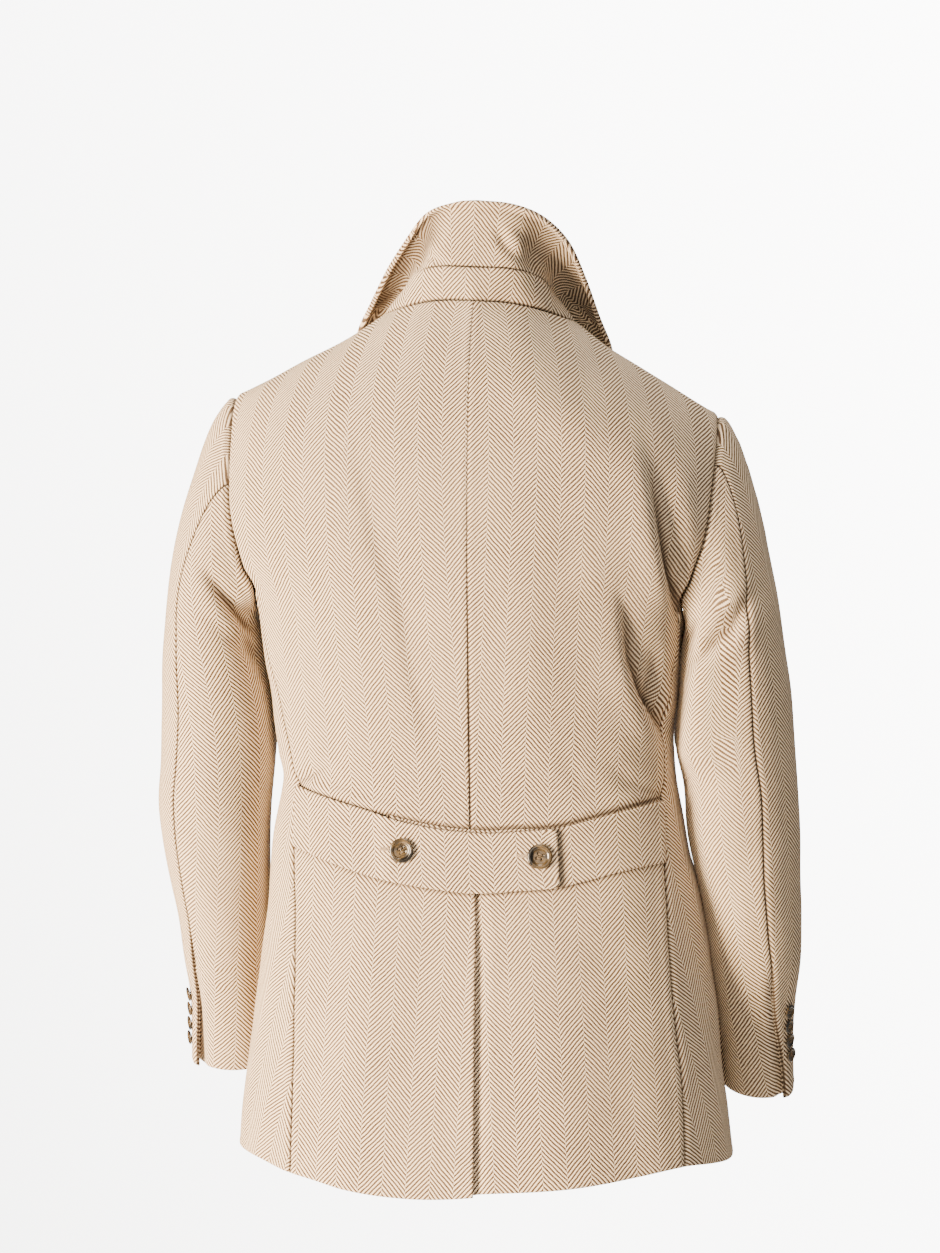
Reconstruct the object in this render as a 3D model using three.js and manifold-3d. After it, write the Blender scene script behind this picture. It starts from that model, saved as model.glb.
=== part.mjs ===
// Short herringbone coat, worn, collar turned up, half belt across the back.
// Millimetres, +Z up, the front faces -Y, the wearer's left is +X.
// Origin: the middle of the neck opening at the height of the side neck points.
import * as THREE from 'three';
import Module from 'manifold-3d';
import { mergeVertices } from 'three/addons/utils/BufferGeometryUtils.js';

const wasm = await Module();
wasm.setup();

// ------------------------------------------------------------------ driving sizes
const CLOTH = 2.6;            // thickness of the coat cloth, a fused wool
const CLOTH_COLLAR = 3.2;     // stand and leaf are two layers with canvas
const GAP = 0.4;              // play between pieces that lie on each other
const SEAM = 0.2;             // each edge stands back this much from its seam line
const LAP_FRONT = 20;         // the left front passes the centre line by this much
const LAP_VENT = 40;          // under-lap of the back vent
const LAP_CUFF = 18;          // under-lap of the sleeve vents
const BUTTON_BIG = 23;        // belt and front buttons
const BUTTON_SMALL = 14;      // cuff buttons
const FRONT_BUTTON_Z = [-135, -268, -401, -534];
const N_BODY = 2.4;           // roundness of the body sections, 2 is an ellipse
const RIDGE_H = 120;          // depth over which the shoulder rounds off
const ARM_TILT = 0.047;       // the wearer's right shoulder is the lower one
const CUFF_TOP = -300;        // height where the sleeve cap ends and its tube begins
const BACK_COLS = 9;          // columns of each back panel
const NECK_COLS = 5;          // of them along the neck, the rest along the shoulder
const SKIRT_ROWS = 8;         // rows from the hem to the belt
const SEAM_ROWS = 6;          // rows from the belt to the armhole
const HOLE_STEPS = 16;        // steps round each armhole
const FRONT_COLS = 4;         // columns along the front neck
const FRONT_INNER = 38;       // distance of the last regular column from the centre front
const PRESS_POWER = 0.4, PRESS_WRAP = 7;   // how flat the right sleeve lies against the body and how far it wraps round it
const CUP = 20, HOLLOW = 11;            // how far the wings of the collar leaf curve in between their seam and their edge

// ------------------------------------------------------------------ tables
// body sections: height, half width, depth behind, depth in front, sideways shift, tilt of the level
const BODY = {
  cols: ['z', 'half', 'behind', 'ahead', 'shift', 'tilt'],
  rows: [
    [-850, 238.0, 152, 152, -5.5, -0.020], [-800, 236.0, 146, 148, -5.0, -0.018],
    [-740, 230.5, 136, 143, -4.0, -0.014], [-656, 219.0, 122, 136, -3.0, -0.007],
    [-562, 206.5, 105, 128, -2.5, 0.002], [-492, 198.0, 96, 123, 0.0, 0.010],
    [-436, 188.0, 97, 122, 0.0, 0.016], [-409, 188.0, 100, 123, 3.0, 0.018],
    [-381, 189.0, 104, 125, 5.0, 0.021], [-350, 193.0, 109, 128, 5.0, 0.024],
    [-308, 198.0, 115, 131, 8.0, 0.028], [-281, 203.0, 118, 132, 8.0, 0.031],
    [-260, 212.0, 120, 132, 8.5, 0.033], [-240, 229.0, 121, 132, 8.5, 0.035],
    [-200, 246.0, 121, 130, 7.0, 0.038], [-160, 246.0, 119, 125, 6.0, 0.041],
    [-120, 246.0, 114, 117, 4.5, 0.044], [-80, 246.0, 107, 108, 4.0, 0.047],
    [-30, 246.0, 94, 97, 2.0, 0.047], [12, 246.0, 82, 87, 0.0, 0.047], [60, 246.0, 70, 76, 0.0, 0.047],
  ],
};
// shoulder line from the neck outwards
const RIDGE = { cols: ['x', 'z'], rows: [[0, 55], [45, 37], [75, 15], [92, 3], [120, -17], [160, -40], [195, -60], [231, -80], [246, -89]] };
// armhole from the side, a row every 22.5 degrees: shoulder, back, underarm, front, shoulder
const ARMHOLE = {
  cols: ['z', 'y'],
  rows: [[-80, 48], [-100, 49], [-130, 53], [-165, 58], [-200, 64], [-235, 61], [-260, 50], [-274, 28], [-281, 0],
    [-277, -28], [-263, -52], [-238, -72], [-203, -84], [-165, -80], [-130, -67], [-100, -56], [-80, -48]],
};
// side-back seams: height, distance from the middle on the wearer's left and right
const SIDE_SEAM = {
  cols: ['z', 'left', 'right'],
  rows: [[-850, 166, 199], [-789, 166, 198], [-720, 165.5, 196], [-643, 166, 187], [-590, 166.5, 183], [-500, 170, 178],
    [-450, 168, 177], [-426, 172, 177], [-382, 180, 176], [-330, 192, 182], [-260, 206.5, 193]],
};
const CENTRE_SEAM = { cols: ['z', 'x'], rows: [[-850, -9], [-800, -8.5], [-630, -7], [-540, -6], [-470, -0.6], [-266, -1], [14, -1.3]] };
const NECK_BACK = { cols: ['x', 'z'], rows: [[0, 14.2], [27, 14.5], [48, 12.5], [70, 8.5], [92, 3]] };
const NECK_FRONT = { cols: ['x', 'z'], rows: [[92, 3], [88, -24], [76, -50], [55, -73], [30, -86], [0, -90]] };
// half belt: place across the back, height of its two edges
const BELT = {
  cols: ['x', 'top', 'bottom'],
  rows: [[-176, -450, -508], [-147, -457, -513], [-107, -468, -523.5], [-80, -474.5, -530], [-44, -478, -533], [-22, -479.8, -535],
    [0, -479.3, -535.5], [30, -476.5, -532.5], [65, -470, -527.5], [90, -463, -522.5], [130, -452.5, -511], [170, -441, -497]],
};
// hem of the back and sides
const HEM = {
  cols: ['x', 'z'],
  rows: [[-240, -792], [-222, -789], [-198, -787], [-157, -792], [-128, -796], [-96, -799.5], [-60, -801.5], [-10, -803.5], [-8, -806],
    [36, -808], [75, -806], [110, -801.5], [136, -796], [172, -789], [198, -782], [224, -778], [240, -778]],
};
// sleeve tubes, worn, with the forearms carried forward: height, outside, inside, back and front of each level
const SLEEVE_LEFT = {
  cols: ['z', 'outer', 'inner', 'back', 'front'],
  rows: [[-722, 291.5, 211.5, -34, -119], [-668, 290.5, 210, -14, -102], [-626, 294.5, 209.5, 2, -88], [-586, 298, 208, 17, -76],
    [-546, 303, 206.5, 31, -67], [-507, 308.7, 204.5, 43, -60], [-468, 311, 202, 52, -56], [-428, 308.5, 197.5, 56, -56],
    [-390, 307, 196.5, 59, -60], [-340, 306.5, 203.6, 61, -64], [-300, 304.5, 211, 62, -66]],
};
const SLEEVE_RIGHT = {
  cols: ['z', 'outer', 'inner', 'back', 'front'],
  rows: [[-722, 299, 229, -24, -104], [-669, 297.5, 225, -4, -88], [-629, 299.5, 220.5, 12, -76], [-589, 305, 216, 27, -66],
    [-550, 305, 212, 38, -59], [-511, 304, 204, 47, -55], [-468, 303, 196, 54, -53], [-428, 302, 193.5, 58, -54],
    [-390, 299, 186.2, 61, -58], [-340, 295.5, 189.4, 63, -62], [-300, 290.5, 192.3, 64, -64]],
};
// how the cap leaves the armhole: angle, direction out / back / up, handle at the armhole, handle at the tube
const CAP = {
  cols: ['angle', 'out', 'back', 'up', 'reach0', 'reach1'],
  rows: [[0, 1, 0, 0.12, 22, 98], [45, 0.93, 0.22, -0.25, 22, 66], [90, 0.72, 0.2, -0.62, 22, 40], [135, 0.62, 0.05, -0.8, 12, 18],
    [180, 0.6, 0, -0.8, 9, 9], [225, 0.62, -0.05, -0.8, 12, 18], [270, 0.72, -0.24, -0.62, 24, 42], [315, 0.93, -0.22, -0.25, 24, 66],
    [360, 1, 0, 0.12, 22, 98]],
};
// hind-arm seam: share of the tube's length, angle from the outside towards the back
const HIND_ARM = {
  cols: ['share', 'left', 'right'],
  rows: [[0, 55, 73], [0.13, 56, 72], [0.25, 55, 70], [0.4, 53, 68], [0.5, 52, 71], [0.62, 52, 71], [0.72, 51, 66], [0.82, 49, 58],
    [0.9, 48, 52], [1, 48, 51]],
};
// rows of the sleeves: share of the cap (below 0) or of the tube
const SLEEVE_ROWS = [-1, -0.8, -0.6, -0.4, -0.2, 0, 0.06, 0.13, 0.2, 0.27, 0.35, 0.43, 0.51, 0.59, 0.67, 0.72, 0.765, 0.8, 0.86, 0.93, 1];
// creases of the sleeves where they face back: a line from one end to the other, half width, depth (- in, + out)
const SLEEVE_FOLDS = {
  cols: ['x0', 'z0', 'x1', 'z1', 'width', 'depth'],
  rows: [[254, -244, 219, -288, 15, -5], [262, -275, 214, -330, 20, 3], [-254, -282, -224, -310, 14, -5], [-262, -306, -214, -345, 20, 3],
    [284, -470, 262, -520, 22, -3], [-285, -480, -262, -530, 22, -3]],
};
const ARM = {
  left: { side: 1, table: SLEEVE_LEFT, hindCol: 'left', hindStart: 3, hem: -722, hemSlope: 0.3, buttonAngle: 27, buttonZ: [-656.5, -671, -685.5, -700] },
  right: { side: -1, table: SLEEVE_RIGHT, hindCol: 'right', hindStart: 2, hem: -715, hemSlope: 0.3, buttonAngle: 30, buttonZ: [-638, -652, -666, -680] },
};
const FORE_START = 13;        // forearm seam, in armhole steps
const FORE_ANGLE = 292;       // and its angle down the tube
const VENT_SHARE = 0.777;     // share of the tube where the cuff vents open
const FLAP_LIFT = 6;          // how far the buttoned edge stands off at the hem
// turned-up collar, from centre back (0) round to centre front (1)
const STAND = {
  cols: ['share', 'x', 'y', 'z'],
  rows: [[0, 0, 60, 46], [0.15, 34, 56, 46], [0.3, 58, 38, 42], [0.42, 67, 14, 33], [0.55, 69, -12, 18], [0.7, 60, -46, -8], [0.85, 36, -72, -34], [1, 6, -84, -50]],
};
const LEAF = {
  cols: ['share', 'left', 'right', 'y', 'z'],
  rows: [[0, -3, 3, 73, 106], [0.12, 17, 38, 69, 104], [0.22, 43, 64, 59, 95], [0.32, 63, 86, 38.5, 75], [0.42, 87, 100.5, 12, 45],
    [0.52, 107, 110.5, -14, 13], [0.65, 126, 123, -52, -24], [0.8, 114, 116, -98, -64], [1, 62, 64, -138, -92]],
};

// ------------------------------------------------------------------ helpers
const DEG = Math.PI / 180;
const clamp = (x, a, b) => Math.min(b, Math.max(a, x));
const smooth = (a, b, x) => { const t = clamp((x - a) / (b - a), 0, 1); return t * t * (3 - 2 * t); };
const lerp = (a, b, t) => a + (b - a) * t;
const V = (x, y, z) => new THREE.Vector3(x, y, z);

// smooth curve through the rows of a table
function along(xs, ys, x) {
  const n = xs.length;
  x = clamp(x, xs[0], xs[n - 1]);
  let i = 0;
  while (i < n - 2 && x >= xs[i + 1]) i++;
  const slope = (k) => (k === 0 ? (ys[1] - ys[0]) / (xs[1] - xs[0])
    : k === n - 1 ? (ys[n - 1] - ys[n - 2]) / (xs[n - 1] - xs[n - 2])
      : (ys[k + 1] - ys[k - 1]) / (xs[k + 1] - xs[k - 1]));
  const h = xs[i + 1] - xs[i], t = (x - xs[i]) / h, t2 = t * t, t3 = t2 * t;
  return (2 * t3 - 3 * t2 + 1) * ys[i] + (t3 - 2 * t2 + t) * h * slope(i) + (-2 * t3 + 3 * t2) * ys[i + 1] + (t3 - t2) * h * slope(i + 1);
}
const column = (table, name) => { const k = table.cols.indexOf(name); return table.rows.map((r) => r[k]); };
function lookup(table, key, name) {
  const id = key + '|' + name;
  table.cache ??= {};
  table.cache[id] ??= [column(table, key), column(table, name)];
  const [xs, ys] = table.cache[id];
  return (x) => along(xs, ys, x);
}
const at = (table, key, name, x) => lookup(table, key, name)(x);

// ------------------------------------------------------------------ body form
const ridge = (x) => at(RIDGE, 'x', 'z', Math.abs(x));
function roundOff(x, z) {
  const t = clamp((ridge(x) - z) / RIDGE_H, 0, 1);
  return Math.sqrt(Math.max(0, 1 - (1 - t) ** 2));
}
const sectionY = (half, depth, x) => depth * Math.max(0, 1 - Math.abs(x / half) ** N_BODY) ** (1 / N_BODY);

// phi 90 is centre back, 0 the side, -90 centre front; side +1 is the wearer's left
function body(phi, z, side) {
  const half = at(BODY, 'z', 'half', z), shift = at(BODY, 'z', 'shift', z);
  const c = Math.cos(phi * DEG), s = Math.sin(phi * DEG);
  const depth = at(BODY, 'z', s >= 0 ? 'behind' : 'ahead', z);
  const r = (Math.abs(c / half) ** N_BODY + Math.abs(s / depth) ** N_BODY) ** (-1 / N_BODY);
  const X = shift + side * r * c;
  return V(X, r * s * roundOff(r * c, z), z + at(BODY, 'z', 'tilt', z) * X);
}
function phiOfX(X, z, side, back = true) {
  const half = at(BODY, 'z', 'half', z), x = (X - at(BODY, 'z', 'shift', z)) * side;
  const y = sectionY(half, at(BODY, 'z', back ? 'behind' : 'ahead', z), x);
  return Math.atan2(back ? y : -y, x) / DEG;
}
function phiOfY(y, z) {
  const half = at(BODY, 'z', 'half', z), depth = at(BODY, 'z', y >= 0 ? 'behind' : 'ahead', z);
  return Math.atan2(y, half * Math.max(0, 1 - Math.abs(y / depth) ** N_BODY) ** (1 / N_BODY)) / DEG;
}
function normalOf(f, u, v, du, dv, outward) {
  const a = f(u + du, v).sub(f(u - du, v)), b = f(u, v + dv).sub(f(u, v - dv));
  const n = a.cross(b).normalize();
  return outward(n) ? n : n.negate();
}
function bodyNormal(phi, z, side) {
  const p = body(phi, z, side);
  const axis = V(0, 0, Math.min(p.z, -60) - 60);
  return normalOf((u, v) => body(u, v, side), phi, z, 0.01, 0.01, (n) => n.dot(p.clone().sub(axis)) > 0);
}

// ------------------------------------------------------------------ seam lines, each as [phi, z]
const stepsLam = ARMHOLE.rows.map((r, i) => i);
function armhole(lam) {
  if (lam <= 0 || lam >= HOLE_STEPS) return shoulder(1, 1, lam <= 0);
  const z = along(stepsLam, column(ARMHOLE, 'z'), lam), y = along(stepsLam, column(ARMHOLE, 'y'), lam);
  return [phiOfY(y, z), z];
}
const armholePoint = (lam, side) => body(...armhole(lam), side);
const sideX = (z, side) => side * at(SIDE_SEAM, 'z', side > 0 ? 'left' : 'right', z);
const centreX = (z) => at(CENTRE_SEAM, 'z', 'x', z);
function sideSeam(z, side) {
  const top = armhole(6)[0] - phiOfX(sideX(-260, side), -260, side);
  return [phiOfX(sideX(z, side), z, side) + top * smooth(-400, -260, z), z];
}
const waistZ = (x) => 0.5 * (at(BELT, 'x', 'top', x) + at(BELT, 'x', 'bottom', x));
const hemZ = (x) => at(HEM, 'x', 'z', x);
function neck(lam, side) {     // 0 centre back, 1 neck point, 2 centre front
  if (lam === 1) return shoulder(0, side, true);
  const T = lam <= 1 ? NECK_BACK : NECK_FRONT;
  const n = T.rows.length - 1, steps = T.rows.map((r, i) => i / n), t = lam <= 1 ? lam : lam - 1;
  const x = along(steps, column(T, 'x'), t), z = along(steps, column(T, 'z'), t);
  return [phiOfX(at(BODY, 'z', 'shift', z) + side * x, z, side, lam <= 1), z];
}
const SHOULDER_X = (() => {
  const half = at(BODY, 'z', 'half', -80), depth = at(BODY, 'z', 'behind', -80);
  return half * (1 - Math.abs(48 / depth) ** N_BODY) ** (1 / N_BODY);
})();
function shoulder(t, side, back) {
  const x = lerp(92, SHOULDER_X, t), z = ridge(x) - 0.0005;
  return [phiOfX(at(BODY, 'z', 'shift', z) + side * x, z, side, back), z];
}

// grid between four edges of [phi, z] pairs; rows go up, columns go from the first to the last edge
function fill(bottom, top, first, last, share) {
  const n = bottom.length - 1, m = first.length - 1, out = [];
  for (let j = 0; j <= m; j++) {
    out.push([]);
    for (let i = 0; i <= n; i++) {
      const u = i / n, v = share ? share[j] : j / m;
      out[j].push([0, 1].map((k) => (1 - v) * bottom[i][k] + v * top[i][k] + (1 - u) * first[j][k] + u * last[j][k]
        - ((1 - u) * (1 - v) * bottom[0][k] + u * (1 - v) * bottom[n][k] + (1 - u) * v * top[0][k] + u * v * top[n][k])));
    }
  }
  return out;
}
const range = (n) => Array.from({ length: n + 1 }, (_, i) => i / n);

// ------------------------------------------------------------------ cloth walls
// rows of outer points and outward normals become one closed wall; a null point leaves its cells out
function wall(points, normals, thick) {
  const m = points.length, n = points[0].length;
  const has = (j, i) => j >= 0 && i >= 0 && j < m && i < n && points[j][i] !== null;
  const cell = (j, i) => has(j, i) && has(j + 1, i) && has(j, i + 1) && has(j + 1, i + 1);
  const pos = [], id = [], count = points.flat().filter((p) => p).length;
  const inner = [];
  points.forEach((row, j) => {
    id.push([]);
    row.forEach((p, i) => {
      if (!p) { id[j].push(-1); return; }
      // stand each edge back from its seam line
      const q = p.clone(), pull = (jj, ii) => q.add(points[jj][ii].clone().sub(p).setLength(SEAM));
      const l = has(j, i - 1), r = has(j, i + 1), d = has(j - 1, i), u = has(j + 1, i);
      if (!l) pull(j, i + 1);
      if (!r) pull(j, i - 1);
      if (!d) pull(j + 1, i);
      if (!u) pull(j - 1, i);
      if (l && r && d && u && !cell(j, i - 1)) { pull(j, i + 1); pull(j - 1, i); }
      id[j].push(pos.length / 3);
      pos.push(q.x, q.y, q.z);
      inner.push(q.addScaledVector(normals[j][i], -thick));
    });
  });
  for (const q of inner) pos.push(q.x, q.y, q.z);
  const O = (j, i) => id[j][i], I = (j, i) => id[j][i] + count, tri = [];
  const quad = (a, b, c, d) => tri.push(a, b, c, a, c, d);
  for (let j = 0; j < m - 1; j++) for (let i = 0; i < n - 1; i++) {
    if (!cell(j, i)) continue;
    quad(O(j, i), O(j, i + 1), O(j + 1, i + 1), O(j + 1, i));
    quad(I(j, i), I(j + 1, i), I(j + 1, i + 1), I(j, i + 1));
    if (!cell(j - 1, i)) quad(O(j, i), I(j, i), I(j, i + 1), O(j, i + 1));
    if (!cell(j + 1, i)) quad(O(j + 1, i), O(j + 1, i + 1), I(j + 1, i + 1), I(j + 1, i));
    if (!cell(j, i - 1)) quad(O(j, i), O(j + 1, i), I(j + 1, i), I(j, i));
    if (!cell(j, i + 1)) quad(O(j, i + 1), I(j, i + 1), I(j + 1, i + 1), O(j + 1, i + 1));
  }
  return closed(pos, tri);
}
function closed(pos, tri) {
  let six = 0;
  const p = (k) => V(pos[3 * k], pos[3 * k + 1], pos[3 * k + 2]);
  for (let t = 0; t < tri.length; t += 3) six += p(tri[t]).dot(p(tri[t + 1]).cross(p(tri[t + 2])));
  if (six < 0) for (let t = 0; t < tri.length; t += 3) [tri[t + 1], tri[t + 2]] = [tri[t + 2], tri[t + 1]];
  const g = new THREE.BufferGeometry();
  g.setAttribute('position', new THREE.Float32BufferAttribute(pos, 3));
  g.setIndex(tri);
  g.computeVertexNormals();
  return g;
}

const coat = new THREE.Group();
const wool = new THREE.MeshStandardMaterial({ color: 0xdcc8b4, roughness: 0.9, metalness: 0 });
const horn = new THREE.MeshStandardMaterial({ color: 0x7d6442, roughness: 0.3, metalness: 0 });
function add(name, geometry, material = wool) {
  const mesh = new THREE.Mesh(geometry, material);
  mesh.name = name;
  coat.add(mesh);
  return mesh;
}

// a panel on the body form; drop(p) is how far it lies in under its neighbour
function panel(name, grid, side, drop = () => 0) {
  const nrm = grid.map((row) => row.map((q) => (q ? bodyNormal(...q, side) : null)));
  const pts = grid.map((row, j) => row.map((q, i) => {
    if (!q) return null;
    const p = body(...q, side);
    return p.addScaledVector(nrm[j][i], folds(p) - drop(p));
  }));
  add(name, wall(pts, nrm, CLOTH));
}

// largest folds of the back: a line from one end to the other, half width, depth (- in, + out)
const FOLDS = {
  cols: ['x0', 'z0', 'x1', 'z1', 'width', 'depth'],
  rows: [[-170, -160, -189, -262, 18, -8], [-155, -150, -172, -270, 18, 3], [-142, -275, -176, -388, 20, -7], [-172, -306, -178, -366, 14, 3],
    [100, -152, 62, -330, 42, -5], [62, -330, 48, -410, 34, -3]],
};
function depthOf(table, p) {
  let d = 0;
  for (const [x0, z0, x1, z1, width, depth] of table.rows) {
    const ax = x1 - x0, az = z1 - z0, t = ((p.x - x0) * ax + (p.z - z0) * az) / (ax * ax + az * az);
    const c = clamp(t, 0, 1), dist = Math.hypot(p.x - x0 - ax * c, p.z - z0 - az * c);
    d += depth * Math.exp(-((dist / width) ** 2));
  }
  return d;
}
// cloth that hangs from each armhole beside the sleeve and ends above the waist
const FULLNESS = {
  cols: ['side', 'depth', 'low', 'lowEnd', 'highEnd', 'high'],
  rows: [[1, 3, -438, -408, -300, -258], [-1, 2.5, -428, -392, -312, -274]],
};
function fullness(p) {
  const [, depth, low, lowEnd, highEnd, high] = FULLNESS.rows.find((r) => r[0] * p.x > 0) ?? FULLNESS.rows[0];
  const middle = lerp(30, 46, smooth(-335, -285, p.z));
  return depth * smooth(low, lowEnd, p.z) * (1 - smooth(highEnd, high, p.z)) * Math.exp(-(((p.y - middle) / 20) ** 2)) * smooth(120, 165, Math.abs(p.x));
}
const folds = (p) => smooth(20, 60, p.y) * depthOf(FOLDS, p) + fullness(p);

// ------------------------------------------------------------------ back: upper panels and skirts
// levels of the belt and waist at the side-back seam, and the seam's points from hem to armhole
const beltAt = (x, edge) => (edge === 'waist' ? waistZ(x) : at(BELT, 'x', edge, x));
const EDGE_X = { 1: sideX(-475, 1), [-1]: sideX(-475, -1) };
function seamPoints(side) {
  const xh = sideX(-789, side), z = (e) => beltAt(EDGE_X[side], e);
  const levels = range(SKIRT_ROWS).map((t) => lerp(hemZ(xh), z('bottom'), t))
    .concat([z('waist')], range(SEAM_ROWS).map((t) => lerp(z('top'), -260, t)));
  return levels.map((h) => sideSeam(h, side));
}
// one level line of a back panel, from the centre seam to the side-back seam
function levelLine(side, edge) {
  const z0 = beltAt(centreX(-505), edge);
  const line = range(BACK_COLS).map((t) => {
    const x = lerp(centreX(z0), EDGE_X[side], t), z = beltAt(x, edge);
    return [phiOfX(x, z, side), z];
  });
  line[0] = [phiOfX(centreX(z0), z0, side), z0];
  line[BACK_COLS] = sideSeam(beltAt(EDGE_X[side], edge), side);
  return line;
}
const centreLine = (side, from, to, rows) => range(rows).map((t) => { const z = lerp(from, to, t); return [phiOfX(centreX(z), z, side), z]; });

function backUpper(side, name) {
  const holeRows = 6, bottom = levelLine(side, 'top');
  const last = seamPoints(side).slice(SKIRT_ROWS + 2).concat(range(holeRows).slice(1).map((t) => armhole(lerp(6, 0, t))));
  const first = centreLine(side, bottom[0][1], 14.2, SEAM_ROWS + holeRows);
  const top = range(NECK_COLS).map((t) => neck(t, side)).concat(range(BACK_COLS - NECK_COLS).slice(1).map((t) => shoulder(t, side, true)));
  top[0] = first.at(-1); top[BACK_COLS] = last.at(-1);
  panel(name, [levelLine(side, 'waist'), ...fill(bottom, top, first, last)], side);
}
function backSkirt(side, name, lap) {
  const xh = sideX(-789, side), zc = hemZ(centreX(-800) + side);
  const top = levelLine(side, 'bottom');
  const last = seamPoints(side).slice(0, SKIRT_ROWS + 1), first = centreLine(side, zc, top[0][1], SKIRT_ROWS);
  const bottom = range(BACK_COLS).map((t) => { const x = lerp(centreX(-800), xh, t), z = t === 0 ? zc : hemZ(x); return [phiOfX(x, z, side), z]; });
  bottom[0] = first[0]; bottom[BACK_COLS] = last[0];
  let grid = [...fill(bottom, top, first, last), levelLine(side, 'waist')];
  const under = CLOTH + GAP, columns = [lap, lap / 2, 0, -5];
  if (lap) {
    // columns that pass under the other skirt's edge, and one just short of it
    grid = grid.map((row) => {
      const z = row[0][1];
      return columns.map((d) => { const x = centreX(z) - side * d; return [phiOfX(x, z, side), z]; }).concat(row.slice(1));
    });
  }
  panel(name, grid, side, (p) => (lap ? under * (1 - smooth(0.5, 12, (p.x - centreX(p.z)) * side)) : 0));
}
backUpper(1, 'back_upper_left');
backUpper(-1, 'back_upper_right');
backSkirt(1, 'back_skirt_left', 0);
backSkirt(-1, 'back_skirt_right', LAP_VENT);

// ------------------------------------------------------------------ fronts, from the side-back seam round to the overlap
const neckShare = (x) => {     // share of the front neck at a distance from the centre
  const xs = column(NECK_FRONT, 'x'), n = xs.length - 1;
  let k = 0;
  while (k < n - 1 && xs[k + 1] > x) k++;
  return (k + (xs[k] - x) / (xs[k] - xs[k + 1])) / n;
};
const FRONT_NECK_END = neckShare(FRONT_INNER);
const HOLE_FOOT = 11;          // armhole step where the front's inner edge turns up beside the sleeve
const CHEST_Z = -225;          // level of that corner at the centre front
function front(side, name) {
  const seam = seamPoints(side), low = seam.length - 1, high = HOLE_STEPS - HOLE_FOOT, zh = seam[0][1];
  const share = seam.map((q) => (q[1] - zh) / (seam[low][1] - zh)), shift = (z) => at(BODY, 'z', 'shift', z);
  // a column at a distance from the centre front, past it where negative
  const columnAt = (d) => {
    const zn = along([...Array(NECK_FRONT.rows.length).keys()], column(NECK_FRONT, 'z'), neckShare(Math.abs(d)) * (NECK_FRONT.rows.length - 1));
    return share.map((v) => lerp(-790, CHEST_Z, v)).concat(range(high).slice(1).map((t) => lerp(CHEST_Z, zn, t)))
      .map((z) => [phiOfX(shift(z) + side * d, z, side, false), z]);
  };
  const inner = columnAt(FRONT_INNER), hole = range(HOLE_FOOT - 6).map((t) => armhole(lerp(6, HOLE_FOOT, t)));
  const across = BACK_COLS - NECK_COLS + FRONT_COLS, foot = hole.at(-1);
  const chest = range(across).map((t) => [lerp(foot[0], inner[low][0], t), lerp(foot[1], inner[low][1], smooth(0, 1, t))]);
  const lowTop = hole.concat(chest.slice(1));
  lowTop[0] = seam[low];
  const around = lowTop.length - 1;
  const hem = range(around).map((t) => {
    const phi = lerp(seam[0][0], inner[0][0], t), p = body(phi, zh, side);
    return [phi, p.y > 0 ? hemZ(p.x) : lerp(-790, hemZ(side * 236), smooth(-120, 0, p.y))];
  });
  hem[0] = seam[0]; hem[around] = inner[0]; lowTop[around] = inner[low];
  const lower = fill(hem, lowTop, seam, inner.slice(0, low + 1), share);
  const edge = range(high).map((t) => armhole(lerp(HOLE_FOOT, HOLE_STEPS, t)));
  const crest = range(BACK_COLS - NECK_COLS).map((t) => shoulder(1 - t, side, false))
    .concat(range(FRONT_COLS).slice(1).map((t) => neck(1 + t * FRONT_NECK_END, side)));
  edge[high] = crest[0]; crest[across] = inner.at(-1); chest[across] = inner[low];
  const upper = fill(chest, crest, edge, inner.slice(low)).slice(1)
    .map((row) => [...Array(HOLE_FOOT - 6).fill(null), ...row]);
  const more = [22, 0, -LAP_FRONT].map(columnAt);
  const grid = lower.concat(upper).map((row, j) => row.concat(more.map((c) => c[j])));
  const under = side < 0 ? CLOTH + GAP + 0.3 : 0;
  panel(name, grid, side, (p) => (p.y < 0 ? under * (1 - smooth(24, 37, (p.x - shift(p.z)) * side)) : 0));
}
front(1, 'front_left');
front(-1, 'front_right');

// ------------------------------------------------------------------ sleeves
// the right arm hangs against the body: its inner wall is pressed flat and wraps round the body a little in front
function pressed(alf, z, arm) {
  const turn = ((alf % 360) + 360) % 360, c = Math.cos(alf * DEG);
  const k = arm.side < 0 ? smooth(-425, -395, z) : 0;
  return [c < 0 ? -Math.pow(-c, lerp(1, PRESS_POWER, k)) : c, PRESS_WRAP * k * Math.exp(-(((turn - 217) / 15) ** 2))];
}
function tube(alf, t, arm) {
  const T = arm.table, z = lerp(CUFF_TOP, arm.hem, t);
  const [xo, xi, yb, yf] = ['outer', 'inner', 'back', 'front'].map((n) => at(T, 'z', n, z));
  const [c, wrap] = pressed(alf, z, arm);
  const x = (xo + xi) / 2 + (xo - xi) / 2 * c - wrap, y0 = (yb + yf) / 2;
  const y = y0 + (yb - yf) / 2 * Math.sin(alf * DEG), X = arm.side * x;
  return V(X, y, z - arm.hemSlope * t * (y - y0) + ARM_TILT * X);
}
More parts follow.
